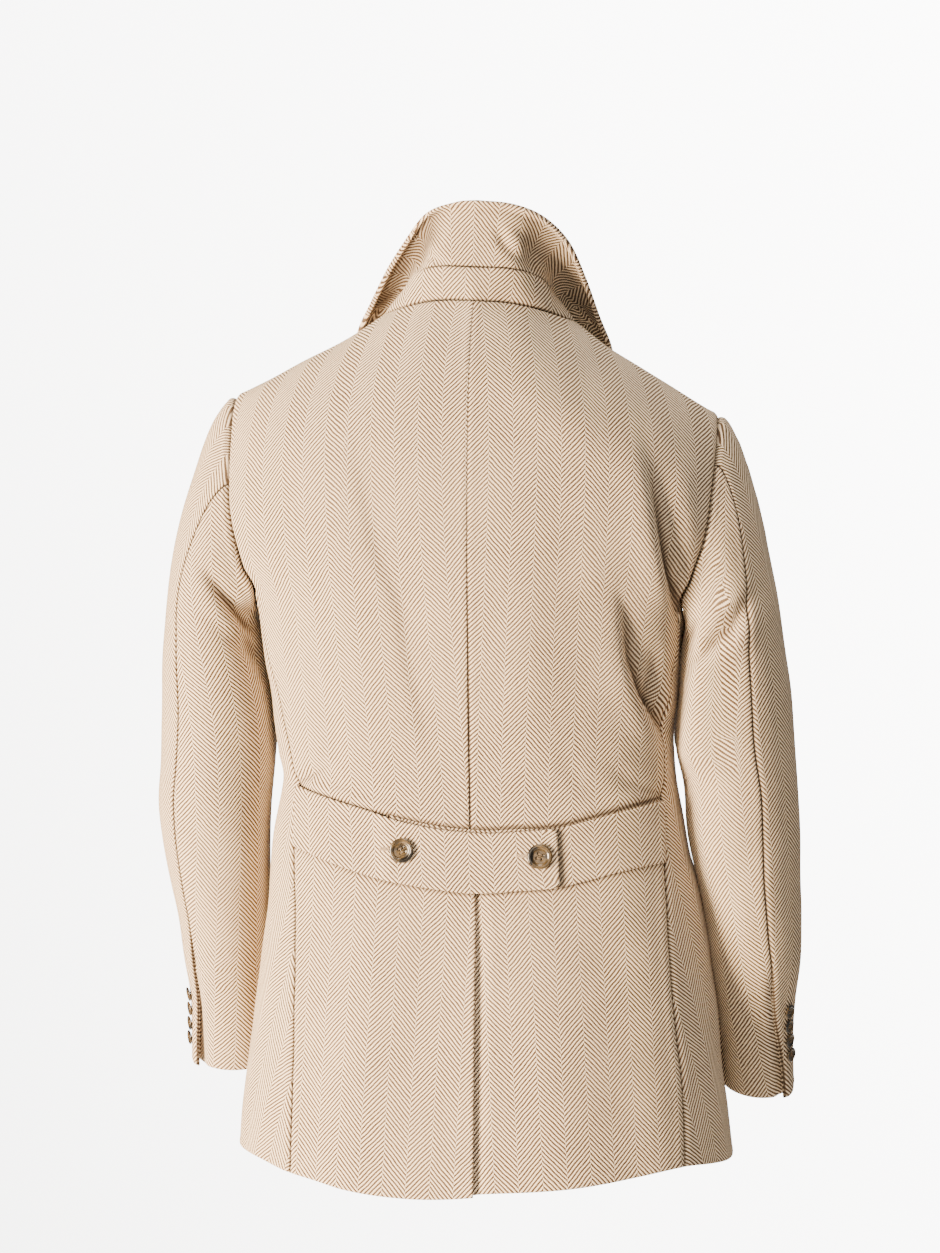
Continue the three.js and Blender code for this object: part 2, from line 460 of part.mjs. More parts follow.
// t -1..0 is the cap, 0..1 the tube; alf 0 outside, 90 back, 180 inside, 270 front
function sleeve(alf, t, arm) {
  if (t >= 0) return tube(alf, t, arm);
  const turn = ((alf % 360) + 360) % 360;
  const A = armholePoint(turn / 22.5, arm.side).add(V(arm.side * 0.5, 0, 0));
  const R = tube(alf, 0, arm), d = tube(alf, 0.02, arm).sub(R).normalize();
  const c = (n) => at(CAP, 'angle', n, turn);
  const dir = V(arm.side * c('out'), c('back'), c('up')).normalize();
  const B = A.clone().addScaledVector(dir, c('reach0')), C = R.clone().addScaledVector(d, -c('reach1'));
  const q = t + 1, p = 1 - q;
  return A.multiplyScalar(p ** 3).addScaledVector(B, 3 * q * p * p).addScaledVector(C, 3 * q * q * p).addScaledVector(R, q ** 3);
}
function sleeveNormal(alf, t, arm) {
  if (t <= -1) {               // at the armhole the wall meets the body's wall edge to edge, but not at the underarm
    const turn = ((alf % 360) + 360) % 360, w = 1 - smooth(85, 130, turn) + smooth(230, 275, turn);
    const own = sleeveNormal(alf, -0.99, arm), [phi, z] = armhole(turn / 22.5);
    return own.lerp(bodyNormal(phi, z, arm.side), w).normalize();
  }
  const tt = clamp(t, -0.998, 0.998);
  const p = sleeve(alf, tt, arm), o = sleeve(alf + 180, tt, arm);
  return normalOf((u, v) => sleeve(u, v, arm), alf, tt, 0.05, 0.001, (n) => n.dot(p.clone().sub(o)) > 0);
}
function hindAngle(t, arm) {
  const top = at(HIND_ARM, 'share', arm.hindCol, 0), start = arm.hindStart * 22.5;
  return t < 0 ? lerp(start, top, smooth(0, 1, t + 1)) : at(HIND_ARM, 'share', arm.hindCol, t);
}
const foreAngle = (t) => lerp(FORE_START * 22.5, FORE_ANGLE, clamp(t + 1, 0, 1));
function sleevePiece(name, arm, from, to, count, lift) {
  const pts = [], nrm = [];
  for (const t of SLEEVE_ROWS) {
    pts.push([]); nrm.push([]);
    for (const u of range(count)) {
      const a = lerp(from(t), to(t), u), n = sleeveNormal(a, t, arm), p = sleeve(a, t, arm);
      const crease = t > -1 ? smooth(0.1, 0.6, n.y) * smooth(-1, -0.7, t) * depthOf(SLEEVE_FOLDS, p) : 0;
      pts.at(-1).push(p.addScaledVector(n, lift(a, t) + crease));
      nrm.at(-1).push(n);
    }
  }
  add(name, wall(pts, nrm, CLOTH));
}
const flap = (arm) => (a, t) => FLAP_LIFT * smooth(VENT_SHARE, 1, t) * smooth(hindAngle(t, arm) - 42, hindAngle(t, arm), a);
const ARC = 0.79;              // mm for each degree round a sleeve
const cuffLap = (t) => (LAP_CUFF / ARC) * smooth(0.765, 0.8, t);
const sink = (arm) => (a, t) => -(CLOTH + GAP) * smooth(0.67, 0.765, t) * (1 - smooth(0, 14, a - hindAngle(t, arm)));
for (const [word, arm] of Object.entries(ARM)) {
  sleevePiece('sleeve_top_' + word, arm, (t) => foreAngle(t) - 360, (t) => hindAngle(t, arm), arm.hindStart + 3, flap(arm));
  sleevePiece('sleeve_under_' + word, arm, (t) => hindAngle(t, arm) - cuffLap(t), (t) => foreAngle(t), FORE_START - arm.hindStart, sink(arm));
}

// ------------------------------------------------------------------ collar
const lean = (p) => V(p.x, p.y, p.z + ARM_TILT * p.x);
const NECK_SHARE = 0.45;       // share of the collar's half length from centre back to the neck point
const neckLam = (s) => (s < NECK_SHARE ? s / NECK_SHARE : 1 + (s - NECK_SHARE) / (1 - NECK_SHARE));
const neckPoint = (s, side) => body(...neck(neckLam(s), side), side);
const standTop = (s, side) => lean(V(side * at(STAND, 'share', 'x', s) - 1, at(STAND, 'share', 'y', s), at(STAND, 'share', 'z', s)));
const leafEdge = (s, side) => lean(V(side * at(LEAF, 'share', side > 0 ? 'left' : 'right', s), at(LEAF, 'share', 'y', s), at(LEAF, 'share', 'z', s)));
const standAt = (s, w, side) => neckPoint(s, side).lerp(standTop(s, side), w);
function leafAt(s, w, side) {
  const B = standTop(s, side), E = leafEdge(s, side), mid = B.clone().add(E).multiplyScalar(0.5);
  // beside the neck the wings are hollow on the outside and flare towards their edge; in front they roll over
  const away = V(mid.x, mid.y + 10, 0).normalize(), h = smooth(0.12, 0.28, s) * (1 - smooth(0.44, 0.6, s));
  const up = lerp(10 + 16 * smooth(0.1, 0.4, s) - 8 * smooth(0.6, 1, s), 6, h);
  const cup = smooth(0.16, 0.34, s) * (1 - smooth(0.5, 0.66, s));   // there the wings are cupped and open to the back
  const M = mid.add(V(0, -CUP * cup, up)).addScaledVector(away, -HOLLOW * h);
  return B.multiplyScalar((1 - w) ** 2).addScaledVector(M, 2 * w * (1 - w)).addScaledVector(E, w * w);
}
// places round the collar: the panels' neck columns, and one between each two
const COLLAR_END = NECK_SHARE + (1 - NECK_SHARE) * 0.95;
const neckStops = range(NECK_COLS).map((t) => t * NECK_SHARE)
  .concat(range(FRONT_COLS).slice(1).map((t) => NECK_SHARE + (1 - NECK_SHARE) * FRONT_NECK_END * t))
  .concat([NECK_SHARE + (1 - NECK_SHARE) * neckShare(22), COLLAR_END]);
const halfStops = neckStops.flatMap((s, i) => (i ? [(s + neckStops[i - 1]) / 2, s] : [s]));
const STOPS = halfStops.slice(1).reverse().map((s) => -s).concat(halfStops);
// normal of a collar surface, away from the neck where the collar stands
function collarNormal(f, u, w) {
  const g = (a, b) => f(Math.min(0.999, Math.abs(a)), b, a < 0 ? -1 : 1), ww = clamp(w, 0.004, 0.996);
  const du = g(u + 0.012, ww).sub(g(u - 0.012, ww)), dw = g(u, ww + 0.003).sub(g(u, ww - 0.003));
  return dw.cross(du).normalize();
}
const neckNormal = (u) => bodyNormal(...neck(neckLam(Math.abs(u)), u < 0 ? -1 : 1), u < 0 ? -1 : 1);
const rollNormal = (u) => collarNormal(standAt, u, 1).add(collarNormal(leafAt, u, 0)).normalize();
function collarPiece(name, f, rows, normalAt) {
  const pts = [], nrm = [];
  for (const w of rows) {
    pts.push([]); nrm.push([]);
    for (const u of STOPS) {
      pts.at(-1).push(f(Math.abs(u), w, u < 0 ? -1 : 1)); nrm.at(-1).push(normalAt(u, w));
    }
  }
  if (f === standAt) {         // the lower edge follows the panels' straight neck facets
    const even = (i) => (i + STOPS.length) % 2 === 1;
    for (let i = 1; i < STOPS.length - 1; i++) {
      if (STOPS.length % 4 === 1 ? i % 2 === 0 : i % 2 === 1) continue;
      pts[0][i] = pts[0][i - 1].clone().lerp(pts[0][i + 1], 0.5); nrm[0][i] = nrm[0][i - 1].clone().lerp(nrm[0][i + 1], 0.5).normalize();
    }
  }
  add(name, wall(pts, nrm, CLOTH_COLLAR));
}
collarPiece('collar_stand', standAt, [0.012, 0.5, 0.992], (u, w) => (w < 0.3 ? neckNormal(u) : w > 0.7 ? rollNormal(u) : collarNormal(standAt, u, w)));
collarPiece('collar_leaf', leafAt, [0.006, 0.1, 0.4, 0.7, 1], (u, w) => (w < 0.05 ? rollNormal(u) : collarNormal(leafAt, u, w)));

// ------------------------------------------------------------------ half belt
const UNDER_LIFT = GAP + CLOTH, OVER_LIFT = 2 * (GAP + CLOTH) + 0.2;
const UNDER_END = 4, OVER_END = -4;     // end columns of the under and over pieces, counted from the centre seam
function onBack(x, z, lift) {
  const side = x < centreX(z) ? -1 : 1, phi = phiOfX(x, z, side);
  const p = body(phi, z, side), n = bodyNormal(phi, z, side);
  return [p.addScaledVector(n, lift + folds(p)), n];
}
// the belt lies on the back panels' own columns, moved out
function beltPiece(name, from, to, lift, edges) {
  const pts = [[], [], []], nrm = [[], [], []];
  for (let c = from; c <= to; c++) {
    const side = c < 0 ? -1 : 1, rows = ['bottom', 'waist', 'top'].map((e) => levelLine(side, e)[Math.abs(c)]);
    rows.forEach(([phi, z], r) => {
      const zz = z + edges(c, r), n = bodyNormal(phi, zz, side), p = body(phi, zz, side);
      pts[r].push(p.addScaledVector(n, lift(c) + folds(p))); nrm[r].push(n);
    });
  }
  add(name, wall(pts, nrm, CLOTH));
}
const underRaise = [0, 0, 0, 0, 0, 0.8, 1.8, 2.6];      // how far the under piece shows above the other, from its seam end inwards
beltPiece('belt_right', -BACK_COLS, UNDER_END, () => UNDER_LIFT, (c, r) => (r === 2 ? underRaise[Math.min(c + BACK_COLS, 7)] : 0));
beltPiece('belt_left', OVER_END, BACK_COLS, (c) => (c > UNDER_END ? UNDER_LIFT : OVER_LIFT), (c, r) => (c === OVER_END ? [9, 0, -9][r] : 0));

// ------------------------------------------------------------------ buttons: dished, rimmed, four holes
function buttonGeometry(d, sides, holeSides) {
  const r = d / 2, k = d / 23;
  const outline = [[0, 0], [r * 0.72, 0], [r * 0.97, 1.0 * k], [r, 2.1 * k], [r * 0.93, 3.2 * k], [r * 0.78, 3.3 * k], [r * 0.64, 2.3 * k], [0, 2.0 * k]];
  const g = new THREE.LatheGeometry(outline.map(([x, y]) => new THREE.Vector2(x, y)), sides);
  g.rotateX(Math.PI / 2);
  const toSolid = (geo) => {
    geo.deleteAttribute('normal'); geo.deleteAttribute('uv');
    const m = mergeVertices(geo, 1e-4);
    return new wasm.Manifold(new wasm.Mesh({ numProp: 3, vertProperties: new Float32Array(m.attributes.position.array), triVerts: new Uint32Array(m.index.array) }));
  };
  let solid = toSolid(g);
  if (solid.volume() < 0) throw new Error('button is inside out');
  const off = d * 0.085;
  for (const [sx, sy] of [[1, 1], [1, -1], [-1, 1], [-1, -1]]) {
    const h = new THREE.CylinderGeometry(d * 0.042, d * 0.042, 8 * k, holeSides);
    h.rotateX(Math.PI / 2); h.translate(sx * off, sy * off, 2 * k);
    solid = solid.subtract(toSolid(h));
  }
  const mesh = solid.getMesh();
  const out = new THREE.BufferGeometry();
  out.setAttribute('position', new THREE.Float32BufferAttribute(Array.from(mesh.vertProperties), 3));
  out.setIndex(Array.from(mesh.triVerts));
  out.computeVertexNormals();
  return out;
}
const bigButton = buttonGeometry(BUTTON_BIG, 18, 6), smallButton = buttonGeometry(BUTTON_SMALL, 12, 5);
function placeButton(name, geometry, p, n, lift) {
  const mesh = add(name, geometry, horn);
  mesh.position.copy(p).addScaledVector(n, lift);
  mesh.quaternion.setFromUnitVectors(V(0, 0, 1), n);
}
[['button_belt_left', 61.5, -497.5], ['button_belt_right', -64.5, -501]].forEach(([name, x, z]) => {
  const [p, n] = onBack(x, z, OVER_LIFT);
  placeButton(name, bigButton, p, n, 0.9);
});
FRONT_BUTTON_Z.forEach((z, i) => {
  const s = at(BODY, 'z', 'shift', z), phi = phiOfX(s, z, 1, false);
  placeButton('button_front_' + (i + 1), bigButton, body(phi, z, 1), bodyNormal(phi, z, 1), 0.9);
});
for (const [word, arm] of Object.entries(ARM)) {
  arm.buttonZ.forEach((z, i) => {
    const t = (z - CUFF_TOP) / (arm.hem - CUFF_TOP), a = arm.buttonAngle;
    const n = sleeveNormal(a, t, arm), p = sleeve(a, t, arm).addScaledVector(n, flap(arm)(a, t));
    placeButton('button_cuff_' + word + '_' + (i + 1), smallButton, p, n, 1.3);
  });
}

export default coat;
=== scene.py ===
"""Looks of the short herringbone coat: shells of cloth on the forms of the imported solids, buttons, stitches, light.

Sizes are in millimetres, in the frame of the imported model, and become metres when a mesh is made.
+Z is up, the front faces -Y, the wearer's left is +X. The camera stands behind the wearer.
"""
import math

import bpy
import numpy as np
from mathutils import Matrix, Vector


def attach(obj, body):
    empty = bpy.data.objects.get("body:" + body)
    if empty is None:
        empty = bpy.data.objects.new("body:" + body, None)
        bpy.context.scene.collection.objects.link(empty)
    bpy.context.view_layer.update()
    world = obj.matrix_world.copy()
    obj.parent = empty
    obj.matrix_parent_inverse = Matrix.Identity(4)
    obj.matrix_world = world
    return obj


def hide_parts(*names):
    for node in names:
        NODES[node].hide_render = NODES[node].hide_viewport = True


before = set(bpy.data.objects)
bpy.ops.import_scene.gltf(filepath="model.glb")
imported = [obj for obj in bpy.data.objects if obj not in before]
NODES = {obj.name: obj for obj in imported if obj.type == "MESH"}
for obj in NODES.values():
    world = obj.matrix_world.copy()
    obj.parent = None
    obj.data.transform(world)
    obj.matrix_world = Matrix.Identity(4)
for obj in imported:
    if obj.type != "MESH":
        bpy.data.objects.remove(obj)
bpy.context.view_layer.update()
MM = 0.001

# ------------------------------------------------------------------ driving sizes, as in the CAD
CLOTH, CLOTH_COLLAR, GAP = 2.6, 3.2, 0.4
LAP_FRONT, LAP_VENT, LAP_CUFF = 20.0, 40.0, 18.0
BUTTON_BIG, BUTTON_SMALL = 23.0, 14.0
FRONT_BUTTON_Z = (-135, -268, -401, -534)
N_BODY, RIDGE_H, ARM_TILT, CUFF_TOP = 2.4, 120.0, 0.047, -300.0
BACK_COLS, NECK_COLS, HOLE_STEPS, FRONT_COLS, FRONT_INNER = 9, 5, 16, 4, 38.0
FORE_START, FORE_ANGLE, VENT_SHARE, FLAP_LIFT = 13, 292.0, 0.777, 6.0
NECK_SHARE, HOLE_FOOT, CHEST_Z, ARC, HOLLOW = 0.45, 11, -225.0, 0.79, 11.0
CUP = 20.0
CELL = 3.7                    # usual size of a mesh cell

# ------------------------------------------------------------------ tables
# height, half width, depth behind, depth in front, sideways shift, tilt of the level
BODY = np.array([
    (-850, 238.0, 152, 152, -5.5, -0.020), (-800, 236.0, 146, 148, -5.0, -0.018), (-740, 230.5, 136, 143, -4.0, -0.014),
    (-656, 219.0, 122, 136, -3.0, -0.007), (-562, 206.5, 105, 128, -2.5, 0.002), (-492, 198.0, 96, 123, 0.0, 0.010),
    (-436, 188.0, 97, 122, 0.0, 0.016), (-409, 188.0, 100, 123, 3.0, 0.018), (-381, 189.0, 104, 125, 5.0, 0.021),
    (-350, 193.0, 109, 128, 5.0, 0.024), (-308, 198.0, 115, 131, 8.0, 0.028), (-281, 203.0, 118, 132, 8.0, 0.031),
    (-260, 212.0, 120, 132, 8.5, 0.033), (-240, 229.0, 121, 132, 8.5, 0.035), (-200, 246.0, 121, 130, 7.0, 0.038),
    (-160, 246.0, 119, 125, 6.0, 0.041), (-120, 246.0, 114, 117, 4.5, 0.044), (-80, 246.0, 107, 108, 4.0, 0.047),
    (-30, 246.0, 94, 97, 2.0, 0.047), (12, 246.0, 82, 87, 0.0, 0.047), (60, 246.0, 70, 76, 0.0, 0.047)])
RIDGE = np.array([(0, 55), (45, 37), (75, 15), (92, 3), (120, -17), (160, -40), (195, -60), (231, -80), (246, -89)])
ARMHOLE = np.array([(-80, 48), (-100, 49), (-130, 53), (-165, 58), (-200, 64), (-235, 61), (-260, 50), (-274, 28), (-281, 0),
                    (-277, -28), (-263, -52), (-238, -72), (-203, -84), (-165, -80), (-130, -67), (-100, -56), (-80, -48)])
# height, side-back seam on the wearer's left and right
SIDE_SEAM = np.array([(-850, 166, 199), (-789, 166, 198), (-720, 165.5, 196), (-643, 166, 187), (-590, 166.5, 183),
                      (-500, 170, 178), (-450, 168, 177), (-426, 172, 177), (-382, 180, 176), (-330, 192, 182), (-260, 206.5, 193)])
CENTRE_SEAM = np.array([(-850, -9), (-800, -8.5), (-630, -7), (-540, -6), (-470, -0.6), (-266, -1), (14, -1.3)])
NECK_BACK = np.array([(0, 14.2), (27, 14.5), (48, 12.5), (70, 8.5), (92, 3)])
NECK_FRONT = np.array([(92, 3), (88, -24), (76, -50), (55, -73), (30, -86), (0, -90)])
# place across the back, upper and lower edge of the half belt
BELT = np.array([(-176, -450, -508), (-147, -457, -513), (-107, -468, -523.5), (-80, -474.5, -530), (-44, -478, -533),
                 (-22, -479.8, -535), (0, -479.3, -535.5), (30, -476.5, -532.5), (65, -470, -527.5), (90, -463, -522.5),
                 (130, -452.5, -511), (170, -441, -497)])
HEM = np.array([(-240, -792), (-222, -789), (-198, -787), (-157, -792), (-128, -796), (-96, -799.5), (-60, -801.5), (-10, -803.5),
                (-8, -806), (36, -808), (75, -806), (110, -801.5), (136, -796), (172, -789), (198, -782), (224, -778), (240, -778)])
# height, outside, inside, back, front of the sleeve tube
SLEEVE = {
    1: np.array([(-722, 291.5, 211.5, -34, -119), (-668, 290.5, 210, -14, -102), (-626, 294.5, 209.5, 2, -88), (-586, 298, 208, 17, -76),
                 (-546, 303, 206.5, 31, -67), (-507, 308.7, 204.5, 43, -60), (-468, 311, 202, 52, -56), (-428, 308.5, 197.5, 56, -56),
                 (-390, 307, 196.5, 59, -60), (-340, 306.5, 203.6, 61, -64), (-300, 304.5, 211, 62, -66)]),
    -1: np.array([(-722, 299, 229, -24, -104), (-669, 297.5, 225, -4, -88), (-629, 299.5, 220.5, 12, -76), (-589, 305, 216, 27, -66),
                  (-550, 305, 212, 38, -59), (-511, 304, 204, 47, -55), (-468, 303, 196, 54, -53), (-428, 302, 193.5, 58, -54),
                  (-390, 299, 186.2, 61, -58), (-340, 295.5, 189.4, 63, -62), (-300, 290.5, 192.3, 64, -64)])}
CAP = np.array([(0, 1, 0, 0.12, 22, 98), (45, 0.93, 0.22, -0.25, 22, 66), (90, 0.72, 0.2, -0.62, 22, 40), (135, 0.62, 0.05, -0.8, 12, 18),
                (180, 0.6, 0, -0.8, 9, 9), (225, 0.62, -0.05, -0.8, 12, 18), (270, 0.72, -0.24, -0.62, 24, 42),
                (315, 0.93, -0.22, -0.25, 24, 66), (360, 1, 0, 0.12, 22, 98)])
HIND_ARM = np.array([(0, 55, 73), (0.13, 56, 72), (0.25, 55, 70), (0.4, 53, 68), (0.5, 52, 71), (0.62, 52, 71), (0.72, 51, 66),
                     (0.82, 49, 58), (0.9, 48, 52), (1, 48, 51)])
ARM = {
    1: dict(word="left", hind=1, start=3, hem=-722.0, slope=0.3, button_angle=27, button_z=(-656.5, -671, -685.5, -700)),
    -1: dict(word="right", hind=2, start=2, hem=-715.0, slope=0.3, button_angle=30, button_z=(-638, -652, -666, -680))}
STAND = np.array([(0, 0, 60, 46), (0.15, 34, 56, 46), (0.3, 58, 38, 42), (0.42, 67, 14, 33), (0.55, 69, -12, 18), (0.7, 60, -46, -8),
                  (0.85, 36, -72, -34), (1, 6, -84, -50)])
LEAF = np.array([(0, -3, 3, 73, 106), (0.12, 17, 38, 69, 104), (0.22, 43, 64, 59, 95), (0.32, 63, 86, 38.5, 75), (0.42, 87, 100.5, 12, 45),
                 (0.52, 107, 110.5, -14, 13), (0.65, 126, 123, -52, -24), (0.8, 114, 116, -98, -64), (1, 62, 64, -138, -92)])

# folds of the back: side steepness left and right of the line, then points x, z, depth (- in, + out)
FOLDS = [
    dict(left=4.2, right=15, pts=[(-158, -112, -0.4), (-165, -138, -2.4), (-170.5, -162, -6.5), (-176, -191, -10), (-182.5, -230, -11.5), (-187.2, -253, -10), (-190, -274, -5)]),
    dict(left=15, right=8, pts=[(-146, -122, 0.4), (-156, -160, 2.6), (-163, -200, 4.4), (-170, -236, 5.4), (-175, -262, 5.6), (-177, -292, 4.0), (-178, -320, 1.5)]),
    dict(left=10, right=10, pts=[(-196, -140, 0.4), (-199, -175, 1.8), (-203, -210, 1.8), (-207, -236, 0.4)]),
    dict(left=4.4, right=10, pts=[(-138, -256, -0.4), (-142.6, -275, -2.8), (-145.4, -295, -5.5), (-148, -318, -8), (-153, -333, -9), (-158.5, -349, -9.5), (-166.5, -365, -9), (-171.5, -376, -8), (-176, -390, -4), (-180, -404, -0.8)]),
    dict(left=14, right=7, pts=[(-128, -262, 0.4), (-134, -300, 2.2), (-140, -335, 3.6), (-150, -362, 4.4), (-160, -384, 4.2), (-168, -402, 2.0), (-172, -416, 0.5)]),
    dict(left=3.6, right=5, pts=[(-166, -310, -1.0), (-166.6, -326, -3.4), (-166.2, -344, -4.0), (-167, -360, -3.0)]),
    dict(left=7, right=8, pts=[(-170, -296, 0.6), (-174, -316, 3.4), (-175.5, -340, 4.8), (-177, -362, 4.0), (-178, -380, 1.0)]),
    dict(left=4, right=5, pts=[(-182, -318, -0.6), (-183, -338, -2.0), (-183.5, -358, -1.8), (-183, -376, -0.5)]),
    dict(left=9, right=30, pts=[(104, -128, -0.8), (95, -155, -2.4), (80, -220, -3.6), (60, -268, -4.2), (53, -316, -3.8), (40, -375, -2.4), (32, -410, -0.8)]),
    dict(left=30, right=26, pts=[(128, -190, 1.2), (116, -250, 2.2), (98, -310, 2.0), (84, -360, 0.8)]),
    dict(left=16, right=12, pts=[(150, -318, -0.6), (134, -366, -2.0), (126, -410, -1.2)]),
    dict(left=7, right=8, pts=[(168, -437, -4.5), (152, -430, -3.2), (134, -420, -1.4), (120, -412, -0.2)]),
    dict(left=8, right=8, pts=[(-178, -446, -3.4), (-160, -441, -2.8), (-143, -431, -1.8), (-128, -416, -0.5)]),
    dict(left=10, right=10, pts=[(-118, -446, -0.6), (-98, -428, -1.4), (-84, -404, -0.6)]),
    dict(left=24, right=20, pts=[(-40, -200, 0.3), (-48, -262, 1.2), (-54, -330, 1.3), (-50, -390, 0.4)]),
    dict(left=26, right=18, pts=[(-84, -158, -0.6), (-92, -230, -1.8), (-100, -300, -1.6), (-104, -362, -0.6)]),
    dict(left=34, right=30, pts=[(86, -560, 0.4), (96, -640, 2.4), (104, -720, 2.8), (108, -800, 2.6)]),
    dict(left=30, right=34, pts=[(-62, -556, 0.4), (-70, -640, 2.0), (-76, -720, 2.6), (-80, -800, 2.4)]),
    dict(left=26, right=24, pts=[(128, -548, -0.4), (136, -620, -1.8), (142, -700, -2.2), (146, -790, -1.8)]),
    dict(left=26, right=24, pts=[(-128, -560, -0.4), (-140, -650, -2.0), (-148, -730, -2.4), (-152, -795, -2.0)]),
    dict(left=16, right=18, pts=[(34, -545, -0.2), (38, -600, -1.2), (46, -680, -1.0), (52, -740, -0.3)]),
]
# folds of the fronts and sides, in the same way but seen from the front
FRONT_FOLDS = [
    dict(left=22, right=18, pts=[(196, -290, -1.0), (182, -350, -3.4), (158, -410, -3.0), (140, -450, -1.0)]),
    dict(left=20, right=22, pts=[(-190, -285, -1.0), (-176, -345, -3.6), (-150, -402, -2.6), (-128, -440, -0.8)]),
    dict(left=26, right=30, pts=[(118, -150, -0.8), (100, -215, -3.0), (84, -290, -2.6), (66, -352, -0.8)]),
    dict(left=28, right=24, pts=[(-112, -160, -0.8), (-94, -230, -2.6), (-70, -300, -2.6), (-58, -366, -0.8)]),
    dict(left=30, right=26, pts=[(96, -440, 0.6), (110, -560, 2.4), (120, -680, 3.2), (126, -790, 3.0)]),
    dict(left=28, right=34, pts=[(-88, -450, 0.6), (-100, -560, 2.2), (-116, -690, 3.0), (-122, -790, 2.8)]),
    dict(left=12, right=16, pts=[(22, -268, -1.8), (52, -292, -1.6), (92, -300, -0.4)]),
    dict(left=14, right=12, pts=[(-4, -401, -1.6), (-40, -424, -1.8), (-84, -430, -0.5)]),
]
# painted shade at the bottoms of the back's creases, where the cloth would lie against itself in shade: x, z and share
CREASE_SHADE = [
    dict(left=3.2, right=4.6, pts=[(-163, -130, 0), (-170.5, -162, 0.5), (-176, -191, 0.85), (-182.5, -230, 0.98), (-187.2, -253, 0.98), (-190, -274, 0.8)]),
    dict(left=3.0, right=4.4, pts=[(-142, -266, 0), (-145.4, -292, 0.5), (-148, -318, 0.7), (-153, -333, 0.85), (-158.5, -349, 0.95), (-166.5, -365, 0.9), (-171.5, -376, 0.75), (-176, -390, 0.4), (-180, -404, 0)]),
    dict(left=2.2, right=2.6, pts=[(-166, -310, 0), (-166.6, -326, 0.3), (-166.2, -344, 0.35), (-167, -360, 0.2)]),
    dict(left=2.4, right=2.4, pts=[(170, -438, 0.5), (152, -430, 0.35), (134, -420, 0.0)]),
    dict(left=2.4, right=2.4, pts=[(-180, -447, 0.45), (-160, -441, 0.3), (-143, -431, 0.0)]),
]
# painted shade at the bottoms of the sleeves' creases, in the same way
SLEEVE_CREASE_SHADE = [
    dict(left=2.6, right=3.4, pts=[(256, -234, 0), (247, -248, 0.45), (239, -260, 0.65), (229, -274, 0.8), (219, -288, 0.8), (209, -300, 0.6), (202, -310, 0.2)]),
    dict(left=2.6, right=2.6, pts=[(222, -296, 0.2), (214, -308, 0.6), (207, -320, 0.6), (202, -334, 0.2)]),
    dict(left=2.8, right=3.2, pts=[(-254, -268, 0), (-241, -287, 0.5), (-229, -299, 0.6), (-216, -311, 0.55), (-204, -322, 0.2)]),
    dict(left=2.6, right=2.6, pts=[(-206, -284, 0.2), (-199, -298, 0.6), (-194, -312, 0.5), (-191, -326, 0.1)]),
]
# creases of the sleeves where they face back and where they face front
SLEEVE_FOLDS = [
    dict(left=5, right=9, pts=[(262, -228, -0.8), (254, -238, -2.6), (247, -248, -4.2), (239, -260, -5.2), (229, -274, -5.4), (219, -288, -5.0), (209, -300, -3.4), (200, -312, -1)]),
    dict(left=8, right=12, pts=[(262, -248, 0.6), (250, -266, 2.6), (236, -284, 3.6), (222, -300, 3.4), (208, -316, 1.2)]),
    dict(left=6, right=10, pts=[(246, -288, -0.6), (234, -298, -2.4), (222, -309, -4.0), (210, -320, -3.8), (202, -332, -1.4)]),
    dict(left=7, right=8, pts=[(222, -296, -1.6), (214, -308, -4.6), (207, -320, -4.4), (202, -334, -1.4)]),
    dict(left=5.5, right=8, pts=[(-262, -256, -0.8), (-251, -272, -3.4), (-241, -287, -5.4), (-229, -299, -5.6), (-216, -311, -5.2), (-204, -322, -3.6), (-194, -332, -1.0)]),
    dict(left=10, right=12, pts=[(-264, -280, 1.0), (-248, -300, 3.4), (-231, -316, 3.8), (-210, -330, 2.0)]),
    dict(left=12, right=9, pts=[(-250, -246, 0.6), (-238, -266, 2.2), (-226, -284, 2.6), (-212, -298, 1.2)]),
    dict(left=7, right=8, pts=[(-206, -284, -1.4), (-199, -298, -4.6), (-194, -312, -4.0), (-191, -326, -1.0)]),
    dict(left=16, right=24, pts=[(292, -452, -0.6), (276, -474, -2.0), (256, -506, -2.2), (238, -530, -0.8)]),
    dict(left=22, right=16, pts=[(-288, -470, -0.6), (-270, -490, -2.0), (-246, -520, -2.0), (-230, -544, -0.6)]),
    dict(left=18, right=22, pts=[(286, -560, -0.4), (262, -584, -1.4), (240, -600, -0.6)]),
    dict(left=18, right=22, pts=[(-290, -566, -0.4), (-268, -588, -1.5), (-246, -604, -0.6)]),
    dict(left=30, right=24, pts=[(254, -350, 0.5), (250, -410, 1.8), (246, -450, 0.6)]),
]
SLEEVE_FRONT_FOLDS = [
    dict(left=10, right=12, pts=[(296, -430, -0.8), (272, -446, -3.6), (246, -452, -3.8), (222, -446, -1.2)]),
    dict(left=12, right=10, pts=[(298, -468, -0.6), (272, -486, -3.0), (244, -492, -3.0), (220, -484, -1.0)]),
    dict(left=9, right=12, pts=[(-292, -440, -0.8), (-266, -452, -3.4), (-240, -460, -3.6), (-214, -452, -1.2)]),
    dict(left=12, right=10, pts=[(-290, -482, -0.6), (-262, -496, -3.2), (-238, -500, -2.8), (-216, -492, -1.0)]),
    dict(left=12, right=14, pts=[(246, -200, -0.6), (238, -250, -3.0), (226, -292, -4.0), (214, -316, -2.0)]),
    dict(left=12, right=14, pts=[(-242, -206, -0.6), (-232, -250, -3.2), (-218, -290, -3.8), (-204, -314, -2.0)]),
]
